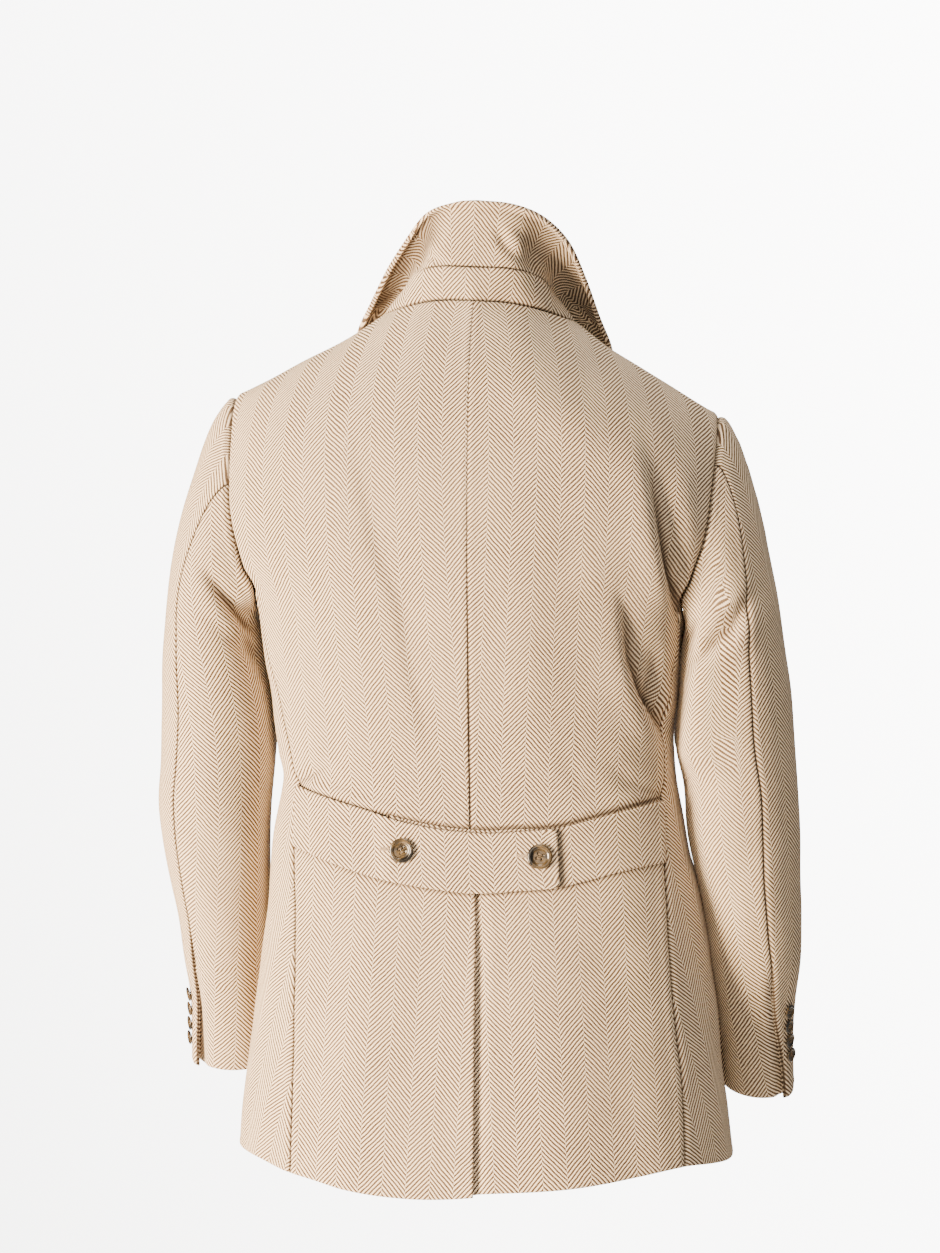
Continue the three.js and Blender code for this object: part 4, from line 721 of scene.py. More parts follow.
def wool_material(name="herringbone_wool", stitch=0.0):
    g = Net(name)
    m = g.m
    uvn = g.tree.nodes.new("ShaderNodeUVMap")
    uvn.uv_map = "grain"
    sep = g.tree.nodes.new("ShaderNodeSeparateXYZ")
    g.tree.links.new(uvn.outputs[0], sep.inputs[0])
    U, V = m("MULTIPLY", sep.outputs[0], 1000.0), m("MULTIPLY", sep.outputs[1], 1000.0)
    # the loom's small unevenness
    flat = g.xyz(m("MULTIPLY", U, 0.055), m("MULTIPLY", V, 0.055))
    U = m("ADD", U, m("MULTIPLY", m("SUBTRACT", g.noise(flat, 1.0, 2.0), 0.5), 1.5))
    flat2 = g.xyz(m("MULTIPLY", U, 0.05), m("MULTIPLY", V, 0.05), 7.0)
    V = m("ADD", V, m("MULTIPLY", m("SUBTRACT", g.noise(flat2, 1.3, 2.0), 0.5), 2.2))
    k = m("DIVIDE", U, COLUMN)
    whole = m("FLOOR", k)
    f = m("SUBTRACT", k, whole)
    odd = m("SUBTRACT", whole, m("MULTIPLY", m("FLOOR", m("MULTIPLY", whole, 0.5)), 2.0))
    tri = m("ADD", m("MULTIPLY", f, m("SUBTRACT", 1.0, m("MULTIPLY", odd, 2.0))), odd)
    pitch = PERIOD / 4
    ends = COLUMN / round(COLUMN / (pitch / SLOPE))
    e = m("DIVIDE", m("MULTIPLY", tri, COLUMN), ends)
    step = m("ADD", m("FLOOR", e), 0.5)
    base = m("DIVIDE", m("ADD", V, m("MULTIPLY", tri, COLUMN * SLOPE)), PERIOD)
    stair = m("DIVIDE", m("ADD", V, m("MULTIPLY", step, ends * SLOPE)), PERIOD)
    shift = m("MULTIPLY", odd, 0.5)
    q = m("ADD", m("ADD", m("MULTIPLY", base, 0.45), m("MULTIPLY", stair, 0.55)), shift)
    line = m("FRACT", q)
    wave = m("COSINE", m("MULTIPLY", line, 2 * math.pi))            # 1 in the light line, -1 in the tan one
    # uneven yarn: thick and thin places along each line
    along = g.xyz(m("MULTIPLY", U, 0.5), m("MULTIPLY", V, 0.5), 3.0)
    uneven = m("SUBTRACT", g.noise(along, 0.9, 3.0, 0.6), 0.5)
    light = g.ramp(m("ADD", wave, m("MULTIPLY", uneven, 0.8)), -0.08, 0.26)
    # single yarns
    a = m("SUBTRACT", m("FRACT", e), 0.5)
    b = m("SUBTRACT", m("FRACT", m("DIVIDE", V, pitch)), 0.5)
    round_a = m("SUBTRACT", 1.0, m("MULTIPLY", m("MULTIPLY", a, a), 3.2))
    round_b = m("SUBTRACT", 1.0, m("MULTIPLY", m("MULTIPLY", b, b), 3.2))
    arch = m("MULTIPLY", m("ABSOLUTE", wave), 0.5)
    high = m("ADD", m("MULTIPLY", light, m("ADD", m("MULTIPLY", round_a, 0.5), arch)),
             m("MULTIPLY", m("SUBTRACT", 1.0, light), m("MULTIPLY", m("ADD", m("MULTIPLY", round_b, 0.42), m("MULTIPLY", arch, 0.6)), 0.8)))
    # colour
    fleck = g.noise(g.xyz(m("MULTIPLY", U, 1.0), m("MULTIPLY", V, 1.0), 11.0), 0.8, 2.0, 0.6)
    slub = g.noise(g.xyz(m("MULTIPLY", U, 1.4), m("MULTIPLY", V, 0.12), 2.0), 1.0, 2.0, 0.5)
    tan = g.mix(g.ramp(m("ADD", m("MULTIPLY", fleck, 0.6), m("MULTIPLY", slub, 0.4)), 0.34, 0.7), TAN_YARN, (0.150, 0.095, 0.058))
    tan = g.mix(g.ramp(fleck, 0.66, 0.78, 0.0, 0.55), tan, DARK_FLECK_AND_SHADE)
    pale = g.mix(g.ramp(fleck, 0.3, 0.7, 0.0, 0.6), LIGHT_YARN, (0.80, 0.65, 0.48))
    colour = g.mix(light, tan, pale)
    # painted shade between the yarns: where the yarn relief is low, the colour is darkened towards the dark brown
    colour = g.mix(g.ramp(high, 0.15, 0.75, 0.42, 0.0), colour, DARK_FLECK_AND_SHADE)
    # slow warm and pale drifts over the cloth
    tex = g.tree.nodes.new("ShaderNodeTexCoord")
    drift = g.noise(tex.outputs["Object"], 7.0, 3.0, 0.5)
    colour = g.mix(g.ramp(drift, 0.35, 0.7, 0.0, 0.10), colour, (0.58, 0.44, 0.30))
    # painted shade from the first part of the place attribute: the dark lines of seams and creases, the belt's shadows
    # and the collar's hollows
    at = g.tree.nodes.new("ShaderNodeAttribute")
    at.attribute_name = "place"
    painted_shade_parts = g.tree.nodes.new("ShaderNodeSeparateXYZ")
    g.tree.links.new(at.outputs["Vector"], painted_shade_parts.inputs[0])
    colour = g.mix(painted_shade_parts.outputs[0], colour, DARK_FLECK_AND_SHADE)
    g.put(g.bsdf.inputs["Base Color"], colour)
    nap = g.noise(tex.outputs["Object"], 900.0, 2.0, 0.7)
    g.put(g.bsdf.inputs["Roughness"], g.ramp(nap, 0.3, 0.7, 0.86, 0.98))
    g.bsdf.inputs["Specular IOR Level"].default_value = 0.12
    g.bsdf.inputs["Sheen Weight"].default_value = 0.06
    g.bsdf.inputs["Sheen Roughness"].default_value = 0.45
    g.bsdf.inputs["Sheen Tint"].default_value = (*srgb(255, 246, 234), 1.0)
    g.bump(m("ADD", high, m("MULTIPLY", nap, 0.35)), 0.55, 0.00045)
    return g.mat


def horn_material(name, patch, seed):
    """mottled horn; patch is the way, in the button's own plane, in which its black part lies"""
    g = Net(name)
    m = g.m
    at = g.tree.nodes.new("ShaderNodeAttribute")
    at.attribute_name = "place"
    sep = g.tree.nodes.new("ShaderNodeSeparateXYZ")
    g.tree.links.new(at.outputs["Vector"], sep.inputs[0])
    x, y, z = sep.outputs
    v = g.xyz(m("ADD", x, 3.1 * seed), m("ADD", y, 1.7 * seed), m("MULTIPLY", z, 0.5))
    cloud = g.noise(v, 1.3, 4.0, 0.55, 0.6)
    streak = g.noise(g.xyz(m("ADD", m("MULTIPLY", x, 0.6), seed), m("MULTIPLY", y, 3.0), z), 1.6, 3.0, 0.6, 0.8)
    colour = g.mix(g.ramp(cloud, 0.34, 0.66), srgb(30, 23, 12), srgb(82, 65, 36))
    colour = g.mix(g.ramp(streak, 0.54, 0.74, 0.0, 0.5), colour, srgb(120, 98, 60))
    lean = m("ADD", m("ADD", m("MULTIPLY", x, patch[0]), m("MULTIPLY", y, patch[1])), m("MULTIPLY", m("SUBTRACT", cloud, 0.5), 0.8))
    colour = g.mix(g.ramp(lean, 0.42, 0.58, 0.0, 0.95), colour, srgb(10, 8, 6))
    g.put(g.bsdf.inputs["Base Color"], colour)
    fine = g.noise(at.outputs["Vector"], 14.0, 3.0, 0.6)
    g.put(g.bsdf.inputs["Roughness"], g.ramp(fine, 0.3, 0.7, 0.16, 0.32))
    g.bsdf.inputs["Coat Weight"].default_value = 0.35
    g.bsdf.inputs["Coat Roughness"].default_value = 0.12
    g.bump(fine, 0.12, 0.0002)
    return g.mat


def thread_material(name, tone):
    g = Net(name)
    tex = g.tree.nodes.new("ShaderNodeTexCoord")
    n = g.noise(tex.outputs["Object"], 2600.0, 2.0, 0.6)
    g.put(g.bsdf.inputs["Base Color"], g.mix(g.ramp(n, 0.3, 0.7), tone, tuple(0.62 * c for c in tone)))
    g.put(g.bsdf.inputs["Roughness"], g.ramp(n, 0.3, 0.7, 0.55, 0.8))
    g.bsdf.inputs["Sheen Weight"].default_value = 0.2
    g.bump(n, 0.5, 0.0002)
    return g.mat


WOOL = wool_material()
THREAD = thread_material("tan_thread", srgb(206, 182, 152))
DARK_THREAD = thread_material("brown_thread", srgb(112, 92, 66))


# ------------------------------------------------------------------ back panels
def back_upper(side):
    word = "left" if side > 0 else "right"
    name = "back_upper_" + word
    u = stops(190, True, True, 2.7)
    v_low = stops(330, False, False, 2.7)[:-1]
    # rows close up towards the shoulder, where the cloth turns over
    w = np.linspace(1, 0, 56)
    v = np.concatenate([v_low * 0.62, 1 - 0.38 * w ** 1.75])
    v[-1] = 1.0
    tu = u * BACK_COLS
    neck_part = neck(np.clip(tu / NECK_COLS, 0, 1), side)
    shoulder_part = shoulder(np.clip((tu - NECK_COLS) / (BACK_COLS - NECK_COLS), 0, 1), side)
    top = np.where((tu <= NECK_COLS)[:, None], neck_part, shoulder_part)
    bottom = level_line(side, "top", u)
    ztop = belt_z(EDGE_X[side], "top")
    seam = side_seam(lerp(ztop, -260.0, np.clip(v / 0.5, 0, 1)), side)
    hole = armhole(np.clip(lerp(6.0, 0.0, (v - 0.5) / 0.5), 0, 6))
    last = np.where((v <= 0.5)[:, None], seam, hole)
    zc = lerp(bottom[0, 1], 14.2, v)
    first = pair(phi_of_x(centre_x(zc), zc, side), zc)
    top[0], top[-1] = first[-1], last[-1]
    first[0], last[0] = bottom[0], bottom[-1]
    grid = fill(bottom, top, first, last, u, v)
    # a strip behind the belt
    waist = level_line(side, "waist", u)
    strip = np.stack([lerp(waist, bottom, t) for t in np.linspace(0, 1, 8)[:-1]])
    grid = np.concatenate([strip, grid])
    return name, grid


def finish_back(name, grid, side, edges, drop=None, extra=None, paler_shade_edges=""):
    phi, z = grid[..., 0], grid[..., 1]
    P, N = body(phi, z, side), body_normal(phi, z, side)
    base = P.copy()
    OUTWARD[0] = outward_sign(P, N)
    flat = flatten(P)
    uv = grain_of(name, base, N, flat)
    d = body_folds(P)
    if drop is not None:
        d = d - drop(P)
    # painted shade along the bottoms of the back's creases
    painted_shade = smooth(10, 45, P[..., 1]) * crease(CREASE_SHADE, P[..., 0], P[..., 2])
    # and painted shadow on the back along the half belt's upper edge and just under its lower edge
    over = P[..., 2] - belt_z(P[..., 0], "top") - 2.6 * smooth(-90, -31, P[..., 0]) * (P[..., 0] < 78)
    under = P[..., 2] - belt_z(P[..., 0], "bottom")
    painted_shade = np.maximum.reduce([painted_shade, 0.9 * np.exp(-(((over - 0.9) / 2.3) ** 2)), 0.75 * np.exp(-((under / 1.7) ** 2))])
    P = P + N * d[..., None]
    N = grid_normals(P, N)
    if drop is not None:
        # high up, a fuller painted shade along the centre seam, whose two edges lie close against each other
        painted_shade = np.maximum(painted_shade, 0.95 * smooth(-450, -390, P[..., 2]) * np.exp(-((edge_arcs(P)["l"] / 1.55) ** 6)))
    shell(name, P, N, CLOTH, edges, uv, WOOL, extra=extra, painted_shade=painted_shade, paler_shade_edges=paler_shade_edges)


def blouse(P):
    """the back hangs over the belt: a soft roll above it that turns in sharply at its upper edge"""
    h = P[..., 2] - belt_z(P[..., 0], "top")
    reach = smooth(176, 150, np.abs(P[..., 0]))
    return (1.7 * np.exp(-((np.minimum(h, 40) / 2.6) ** 2)) * (h > 0) + 1.7 * (h <= 0) - (2.2 * reach) * np.exp(-(((h - 8.5) / 5.5) ** 2)))


def outward_sign(P, N):
    j, i = P.shape[0] // 2, P.shape[1] // 2
    c = np.cross(P[j, min(i + 1, P.shape[1] - 1)] - P[j, i], P[min(j + 1, P.shape[0] - 1), i] - P[j, i])
    return 1.0 if (c * N[j, i]).sum() > 0 else -1.0


def grid_normals(P, N, share=0.75):
    """normals that follow the folds, but keep the form's own at the edges so that neighbours meet"""
    a, b = np.gradient(P, axis=1), np.gradient(P, axis=0)
    n = unit(np.cross(a, b))
    n = n * np.where((n * N).sum(-1) > 0, 1.0, -1.0)[..., None]
    arcs = edge_arcs(P)
    near = np.minimum.reduce([arcs[k] for k in "lrbt"])
    w = (share * smooth(3.0, 14.0, near))[..., None]
    return unit(N * (1 - w) + n * w)


for side in (1, -1):
    name, grid = back_upper(side)
    finish_back(name, grid, side, dict(l="seam", r="deep", t="seam"), drop=blouse, paler_shade_edges="t")


def back_skirt(side, lap):
    name = "back_skirt_" + ("left" if side > 0 else "right")
    xh = float(side_x(-789.0, side))
    zc = float(hem_z(centre_x(-800.0) + side))
    u = stops(176, not lap, True)
    v = stops(272, True, False)
    top, seam_z = level_line(side, "bottom", u), lerp(hem_z(xh), belt_z(EDGE_X[side], "bottom"), v)
    last = side_seam(seam_z, side)
    z1 = lerp(zc, top[0, 1], v)
    first = pair(phi_of_x(centre_x(z1), z1, side), z1)
    x = lerp(centre_x(-800.0), xh, u)
    zb = np.where(u == 0, zc, hem_z(x))
    bottom = pair(phi_of_x(x, zb, side), zb)
    bottom[0], bottom[-1], top[0], top[-1] = first[0], last[0], first[-1], last[-1]
    grid = fill(bottom, top, first, last, u, v)
    waist = level_line(side, "waist", u)
    grid = np.concatenate([grid, np.stack([lerp(top, waist, t) for t in np.linspace(0, 1, 8)[1:]])])
    if lap:
        # the under-lap runs on past the centre seam, under the other skirt
        z = grid[:, 0, 1]
        d = np.concatenate([lap - FINE, np.linspace(lap - 10, 0, 9)])
        more = np.stack([pair(phi_of_x(centre_x(z) - side * k, z, side), z) for k in d], 1)
        grid = np.concatenate([more, grid[:, 1:]], 1)
    return name, grid


name, grid = back_skirt(1, 0)
# the left skirt's edge lies over the vent and stands off a little towards the hem
finish_back(name, grid, 1, dict(l="free", r="deep", b="free"),
            drop=lambda p: -1.6 * (1 - smooth(0, 26, p[..., 0] - centre_x(p[..., 2]))) * smooth(-545, -640, p[..., 2]))
name, grid = back_skirt(-1, LAP_VENT)
finish_back(name, grid, -1, dict(l="free", r="deep", b="free"),
            drop=lambda p: (CLOTH + GAP + 1.0 * smooth(-540, -600, p[..., 2])) * (1 - smooth(2.0, 15, -(p[..., 0] - centre_x(p[..., 2])))))


# ------------------------------------------------------------------ fronts
def neck_share(x):
    x = np.abs(np.asarray(x, float))
    xs = NECK_FRONT[:, 0]
    n = len(xs) - 1
    k = np.clip(np.searchsorted(-xs, -x, side="right") - 1, 0, n - 1)
    return (k + (xs[k] - x) / (xs[k] - xs[k + 1])) / n


FRONT_NECK_END = float(neck_share(FRONT_INNER))


def front(side):
    name = "front_" + ("left" if side > 0 else "right")
    zh = float(lerp(hem_z(side_x(-789.0, side)), 0, 0))
    top_z = -260.0
    across = BACK_COLS - NECK_COLS + FRONT_COLS
    hole_n = HOLE_FOOT - 6
    total = hole_n + across
    # columns: seam to the armhole's foot, then to the last regular column, then the edge of the front
    ua = stops(150, True, False, 5.0) * hole_n / total
    ub = hole_n / total + (1 - hole_n / total) * stops(215, True, False, 5.0)[1:]
    u = np.concatenate([ua, ub])
    corner = len(ua) - 1
    v = stops(525, True, True, 5.0)
    seam = side_seam(lerp(zh, top_z, v), side)

    def column(d, share, low):
        zn = herm(np.arange(len(NECK_FRONT)), NECK_FRONT[:, 1], neck_share(d) * (len(NECK_FRONT) - 1))
        z = lerp(-790.0, CHEST_Z, share) if low else lerp(CHEST_Z, float(zn), share)
        return pair(phi_of_x(look(BODY, z, 4) + side * d, z, side, False), z)

    inner = column(FRONT_INNER, v, True)
    i = u * total
    hole = armhole(np.clip(6 + i, 6, HOLE_FOOT))
    foot = armhole(float(HOLE_FOOT))
    t = np.clip((i - hole_n) / across, 0, 1)
    chest = pair(lerp(foot[0], inner[-1, 0], t), lerp(foot[1], inner[-1, 1], smooth(0, 1, t)))
    low_top = np.where((i <= hole_n)[:, None], hole, chest)
    low_top[0], low_top[-1] = seam[-1], inner[-1]
    phi = lerp(seam[0, 0], inner[0, 0], u)
    p = body(phi, zh, side)
    hem = pair(phi, np.where(p[:, 1] > 0, hem_z(p[:, 0]), lerp(-790.0, hem_z(side * 236.0), smooth(-120, 0, p[:, 1]))))
    hem[0], hem[-1] = seam[0], inner[0]
    lower = fill(hem, low_top, seam, inner, u, v)
    # upper block beside the armhole
    w = np.concatenate([stops(90, True, False, 5.0) * 0.5, (1 - 0.5 * np.linspace(1, 0, 22) ** 1.7)[1:]])
    uu = (u[corner:] - u[corner]) / (1 - u[corner])
    k = uu * across
    n_sh = BACK_COLS - NECK_COLS
    crest = np.where((k <= n_sh)[:, None], shoulder(1 - np.clip(k / n_sh, 0, 1), side, False), neck(1 + np.clip((k - n_sh) / FRONT_COLS, 0, 1) * FRONT_NECK_END, side))
    edge = armhole(lerp(float(HOLE_FOOT), 16.0, w))
    edge[-1] = crest[0]
    inner_up = column(FRONT_INNER, w, False)
    crest[-1] = inner_up[-1]
    bottom = low_top[corner:].copy()
    upper = fill(bottom, crest, edge, inner_up, uu, w)[1:]
    pad = np.full((len(upper), corner, 2), np.nan)
    upper = np.concatenate([pad, upper], 1)
    d = np.concatenate([np.linspace(FRONT_INNER, -LAP_FRONT + FINE[-1], 12)[1:], -LAP_FRONT + FINE[::-1][1:]])
    extra = np.stack([np.concatenate([column(x, v, True), column(x, w, False)[1:]]) for x in d], 1)
    grid = np.concatenate([np.concatenate([lower, upper]), extra], 1)
    return name, grid, len(v) - 1, corner


for side in (1, -1):
    name, grid, low, corner = front(side)
    mask = ~np.isnan(grid[..., 0])
    safe = np.where(mask[..., None], grid, grid[low, corner])
    phi, z = safe[..., 0], safe[..., 1]
    P, N = body(phi, z, side), body_normal(phi, z, side)
    OUTWARD[0] = outward_sign(P[:low], N[:low])
    # the flat cut is laid out from the front edge, and the absent corner is carried along
    flat = flatten(P[:low + 1])
    up = flatten(P[low:, corner:])
    a, b = flat[low, corner:], up[0]
    ca, cb = a.mean(0), b.mean(0)
    M = (b - cb).T @ (a - ca)
    ang = math.atan2(M[0, 1] - M[1, 0], M[0, 0] + M[1, 1])
    c, s = math.cos(ang), math.sin(ang)
    up = (up - cb) @ np.array([[c, s], [-s, c]]) + ca
    whole = np.zeros(P.shape[:2] + (2,))
    whole[:low + 1] = flat
    whole[low + 1:, corner:] = up[1:]
    whole[low + 1:, :corner] = flat[low, corner]
    last = P.shape[1] - 1
    uv = grain_of(name, P, N, whole, centre=((low, last), (0, last)))
    shift_x = look(BODY, z, 4)
    under = (CLOTH + GAP + 0.3) if side < 0 else 0.0
    d = body_folds(P) - np.where(P[..., 1] < 0, under * (1 - smooth(24, 37, (P[..., 0] - shift_x) * side)), 0)
    d = d
    P2 = P + N * d[..., None]
    N2 = N.copy()
    N2[:low] = grid_normals(P2[:low + 2], N[:low + 2])[:low]
    lam = armhole_point(np.linspace(6, 16, 900), side)
    dist = np.full(P.shape[:2], 1e3)
    idx = np.argwhere(mask & (P[..., 2] > -420))
    for j in range(0, len(idx), 4000):
        part = idx[j:j + 4000]
        q = P[part[:, 0], part[:, 1]]
        dist[part[:, 0], part[:, 1]] = np.sqrt(((q[:, None] - lam[None]) ** 2).sum(-1).min(1))
    shell(name, P2, N2, CLOTH, dict(l="deep", r="free", b="free", hole="deep", neck="seam"), uv, WOOL, mask=mask,
          extra=dict(hole=dist, neck=edge_arcs(P2)["t"] + np.where(np.arange(P.shape[0])[:, None] < low, 500, 0)))


# ------------------------------------------------------------------ sleeves
def pressed(alf, z, side):
    """the right arm hangs against the body: its inner wall is pressed flat and wraps round the body a little in front"""
    turn, c = np.mod(alf, 360), np.cos(np.radians(alf))
    k = smooth(-425, -395, z) * (side < 0)
    return np.where(c < 0, -np.abs(c) ** lerp(1, 0.4, k), c), 7.0 * k * np.exp(-(((turn - 217) / 15.0) ** 2))


def tube(alf, t, side):
    A = ARM[side]
    z = lerp(CUFF_TOP, A["hem"], t)
    xo, xi, yb, yf = (look(SLEEVE[side], z, k) for k in range(1, 5))
    c, wrap = pressed(alf, z, side)
    x = (xo + xi) / 2 + (xo - xi) / 2 * c - wrap
    y0 = (yb + yf) / 2
    y = y0 + (yb - yf) / 2 * np.sin(np.radians(alf))
    X = side * x
    return np.stack([X, y, z - A["slope"] * t * (y - y0) + ARM_TILT * X], -1)


def sleeve(alf, t, side):
    alf, t = np.broadcast_arrays(np.asarray(alf, float), np.asarray(t, float))
    turn = np.mod(alf, 360)
    A0 = armhole_point(turn / 22.5, side) + np.array([side * 0.5, 0, 0])
    R = tube(alf, 0 * t, side)
    d = unit(tube(alf, 0 * t + 0.02, side) - R)
    c = [look(CAP, turn, k)[..., None] for k in range(1, 6)]
    way = unit(np.concatenate([side * c[0], c[1], c[2]], -1))
    B, C = A0 + way * c[3], R - d * c[4]
    q = np.clip(t + 1, 0, 1)[..., None]
    p = 1 - q
    cap = A0 * p ** 3 + B * 3 * q * p * p + C * 3 * q * q * p + R * q ** 3
    return np.where((t < 0)[..., None], cap, tube(alf, np.maximum(t, 0), side))


def sleeve_normal(alf, t, side):
    t = np.clip(t, -0.998, 0.998)
    p, o = sleeve(alf, t, side), sleeve(alf + 180, t, side)
    n = unit(np.cross(sleeve(alf + 0.3, t, side) - sleeve(alf - 0.3, t, side), sleeve(alf, t + 0.002, side) - sleeve(alf, t - 0.002, side)))
    return n * np.where((n * (p - o)).sum(-1) > 0, 1.0, -1.0)[..., None]


def sleeve_normals(alf, t, side):
    """as above, but at the armhole the wall meets the body's wall edge to edge, except under the arm"""
    n = sleeve_normal(alf, t, side)
    turn = np.mod(alf, 360)
    q = armhole(turn / 22.5)
    w = (1 - smooth(85, 130, turn) + smooth(230, 275, turn)) * (1 - smooth(-1.0, -0.955, t))
    return unit(n * (1 - w)[..., None] + body_normal(q[..., 0], q[..., 1], side) * w[..., None])


def hind_angle(t, side):
    A = ARM[side]
    k = A["hind"]
    return np.where(t < 0, lerp(A["start"] * 22.5, HIND_ARM[0, k], smooth(0, 1, t + 1)), look(HIND_ARM, np.clip(t, 0, 1), k))


def fore_angle(t):
    return lerp(FORE_START * 22.5, FORE_ANGLE, np.clip(t + 1, 0, 1))


def sleeve_rows():
    cap = -1 + stops(190, True, False) ** 1.0
    low = stops(440, False, True)[1:]
    return np.concatenate([cap, low])


def resting(p, n):
    """the right sleeve's inner wall lies against the body in front of its side, just below the armhole"""
    return (p[..., 0] < 0) * 6.0 * smooth(0.15, 0.5, n[..., 0]) * np.exp(-(((p[..., 1] + 37) / 15.0) ** 2) - (((p[..., 2] + 284) / 25.0) ** 2))


def sleeve_folds(p, n, t):
    back = smooth(0.05, 0.5, n[..., 1]) * smooth(-1, -0.8, t)
    ahead = smooth(0.05, 0.5, -n[..., 1]) * smooth(-1, -0.8, t)
    return (back * crease(SLEEVE_FOLDS, p[..., 0], p[..., 2]) + ahead * crease(SLEEVE_FRONT_FOLDS, p[..., 0], p[..., 2])
            + smooth(-1, -0.7, t) * ripple(p[..., 1] * 1.1 + p[..., 0] * 0.4, p[..., 2], 9, 62, 1.3) + smooth(-1, -0.95, t) * resting(p, n))


def sleeve_piece(name, side, start, end, width, lift, edges, cuff=None):
    t = sleeve_rows()
    u = stops(width, True, True)
    a0, a1 = start(t)[:, None], end(t)[:, None]
    alf = lerp(a0, a1, u[None])
    tt = np.repeat(t[:, None], len(u), 1)
    P, N = sleeve(alf, tt, side), sleeve_normals(alf, tt, side)
    OUTWARD[0] = outward_sign(P, N)
    flat = flatten(P, foot=-1)
    k = len(u) // 2
    uv = grain_of(name, P, N, flat, centre=((int(len(t) * 0.4), k), (len(t) - 1, k)))
    P2 = P + N * (lift(alf, tt) + sleeve_folds(P, N, tt))[..., None]
    N2 = grid_normals(P2, N)
    # painted shade at the bottoms of the sleeves' creases, on the parts facing back
    painted_shade = smooth(0.05, 0.5, N[..., 1]) * smooth(-1, -0.8, tt) * crease(SLEEVE_CREASE_SHADE, P[..., 0], P[..., 2])
    return shell(name, P2, N2, CLOTH, edges, uv, WOOL, painted_shade=painted_shade)


for side in (1, -1):
    word = ARM[side]["word"]
    flap = lambda a, t, s=side: FLAP_LIFT * smooth(VENT_SHARE, 1, t) * smooth(hind_angle(t, s) - 42, hind_angle(t, s), a)
    sink = lambda a, t, s=side: -(CLOTH + GAP) * smooth(0.67, 0.765, t) * (1 - smooth(0, 14, a - hind_angle(t, s)))
    lap = lambda t: (LAP_CUFF / ARC) * smooth(0.765, 0.8, t)
    sleeve_piece("sleeve_top_" + word, side, lambda t: fore_angle(t) - 360, lambda t, s=side: hind_angle(t, s), 178, flap, dict(l="seam", r="seam", b="deep", t="free"))
    sleeve_piece("sleeve_under_" + word, side, lambda t, s=side: hind_angle(t, s) - lap(t), lambda t: fore_angle(t), 206, sink, dict(l="seam", r="seam", b="deep", t="free"))


# ------------------------------------------------------------------ collar
def tilted(x, y, z):
    return np.stack([x, y, z + ARM_TILT * x], -1)


def neck_point(s, side):
    lam = np.where(s < NECK_SHARE, s / NECK_SHARE, 1 + (s - NECK_SHARE) / (1 - NECK_SHARE))
    q = neck(lam, side)
    return body(q[..., 0], q[..., 1], side)


def both(f, u, *more):
    """f for each side, chosen by the sign of u"""
    s = np.minimum(np.abs(u), 0.999)
    a, b = f(s, *more, 1), f(s, *more, -1)
    return np.where((u >= 0)[..., None], a, b)


def stand_top(s, side):
    return tilted(side * look(STAND, s, 1) - 1, look(STAND, s, 2), look(STAND, s, 3))


def leaf_edge(s, side):
    return tilted(side * look(LEAF, s, 1 if side > 0 else 2), look(LEAF, s, 3), look(LEAF, s, 4))


def stand_at(s, w, side):
    w = w[..., None]
    return neck_point(s, side) * (1 - w) + stand_top(s, side) * w


def leaf_at(s, w, side):
    B, E = stand_top(s, side), leaf_edge(s, side)
    # beside the neck the wings are hollow on the outside and flare towards their edge; in front they roll over
    h = smooth(0.12, 0.28, s) * (1 - smooth(0.44, 0.6, s))
    up = lerp(10 + 16 * smooth(0.1, 0.4, s) - 8 * smooth(0.6, 1, s), 6, h)
    mid = (B + E) / 2
    away = unit(np.stack([mid[..., 0], mid[..., 1] + 10, 0 * s], -1))
    cup = smooth(0.16, 0.34, s) * (1 - smooth(0.5, 0.66, s))         # there they are cupped and open to the back
    M = mid + np.stack([0 * s, -CUP * cup, up], -1) - away * (HOLLOW * h)[..., None]
    w = w[..., None]
    return B * (1 - w) ** 2 + M * 2 * w * (1 - w) + E * w * w


COLLAR_END = NECK_SHARE + (1 - NECK_SHARE) * 0.95
# creases of the leaf: share round (+ is the wearer's left), share up, reach round and up, depth
LEAF_FOLDS = [(-0.25, 0.22, 0.05, 0.22, -3.5), (-0.12, 0.62, 0.08, 0.14, 1.2), (0.3, 0.22, 0.05, 0.25, -3.5), (0.13, 0.34, 0.05, 0.3, 1.0),
              (0.42, 0.45, 0.09, 0.25, -2.0), (-0.4, 0.45, 0.08, 0.25, -2.0)]
# its sharper creases, laid flat: 470 mm for each unit round and 84 mm for each unit up
LEAF_CREASES = [
    dict(left=5, right=8, pts=[(-30, 48, -0.6), (-38, 38, -2.6), (-45, 29, -5.0), (-56, 22, -4.6), (-70, 17, -3.0), (-88, 12, -1.0)]),
    dict(left=9, right=7, pts=[(-44, 48, 0.6), (-58, 39, 2.2), (-74, 32, 2.4), (-92, 26, 1.0)]),
    dict(left=4, right=6, pts=[(52, 2, -0.8), (70, 4, -2.8), (88, 8, -3.4), (104, 14, -1.0)]),
    dict(left=8, right=6, pts=[(56, 16, 0.6), (76, 18, 1.8), (96, 24, 1.0)])]


def hollow_shade(u, w):
    """how much painted shade darkens the hollows of the leaf's wings behind its rolled rim, more on the wearer's left
    """
    a = np.abs(u)
    return np.where(u > 0, 0.66, 0.36) * smooth(0.13, 0.22, a) * (1 - smooth(0.52, 0.62, a)) * smooth(0.97, 0.88, w) * smooth(0.1, 0.45, w)


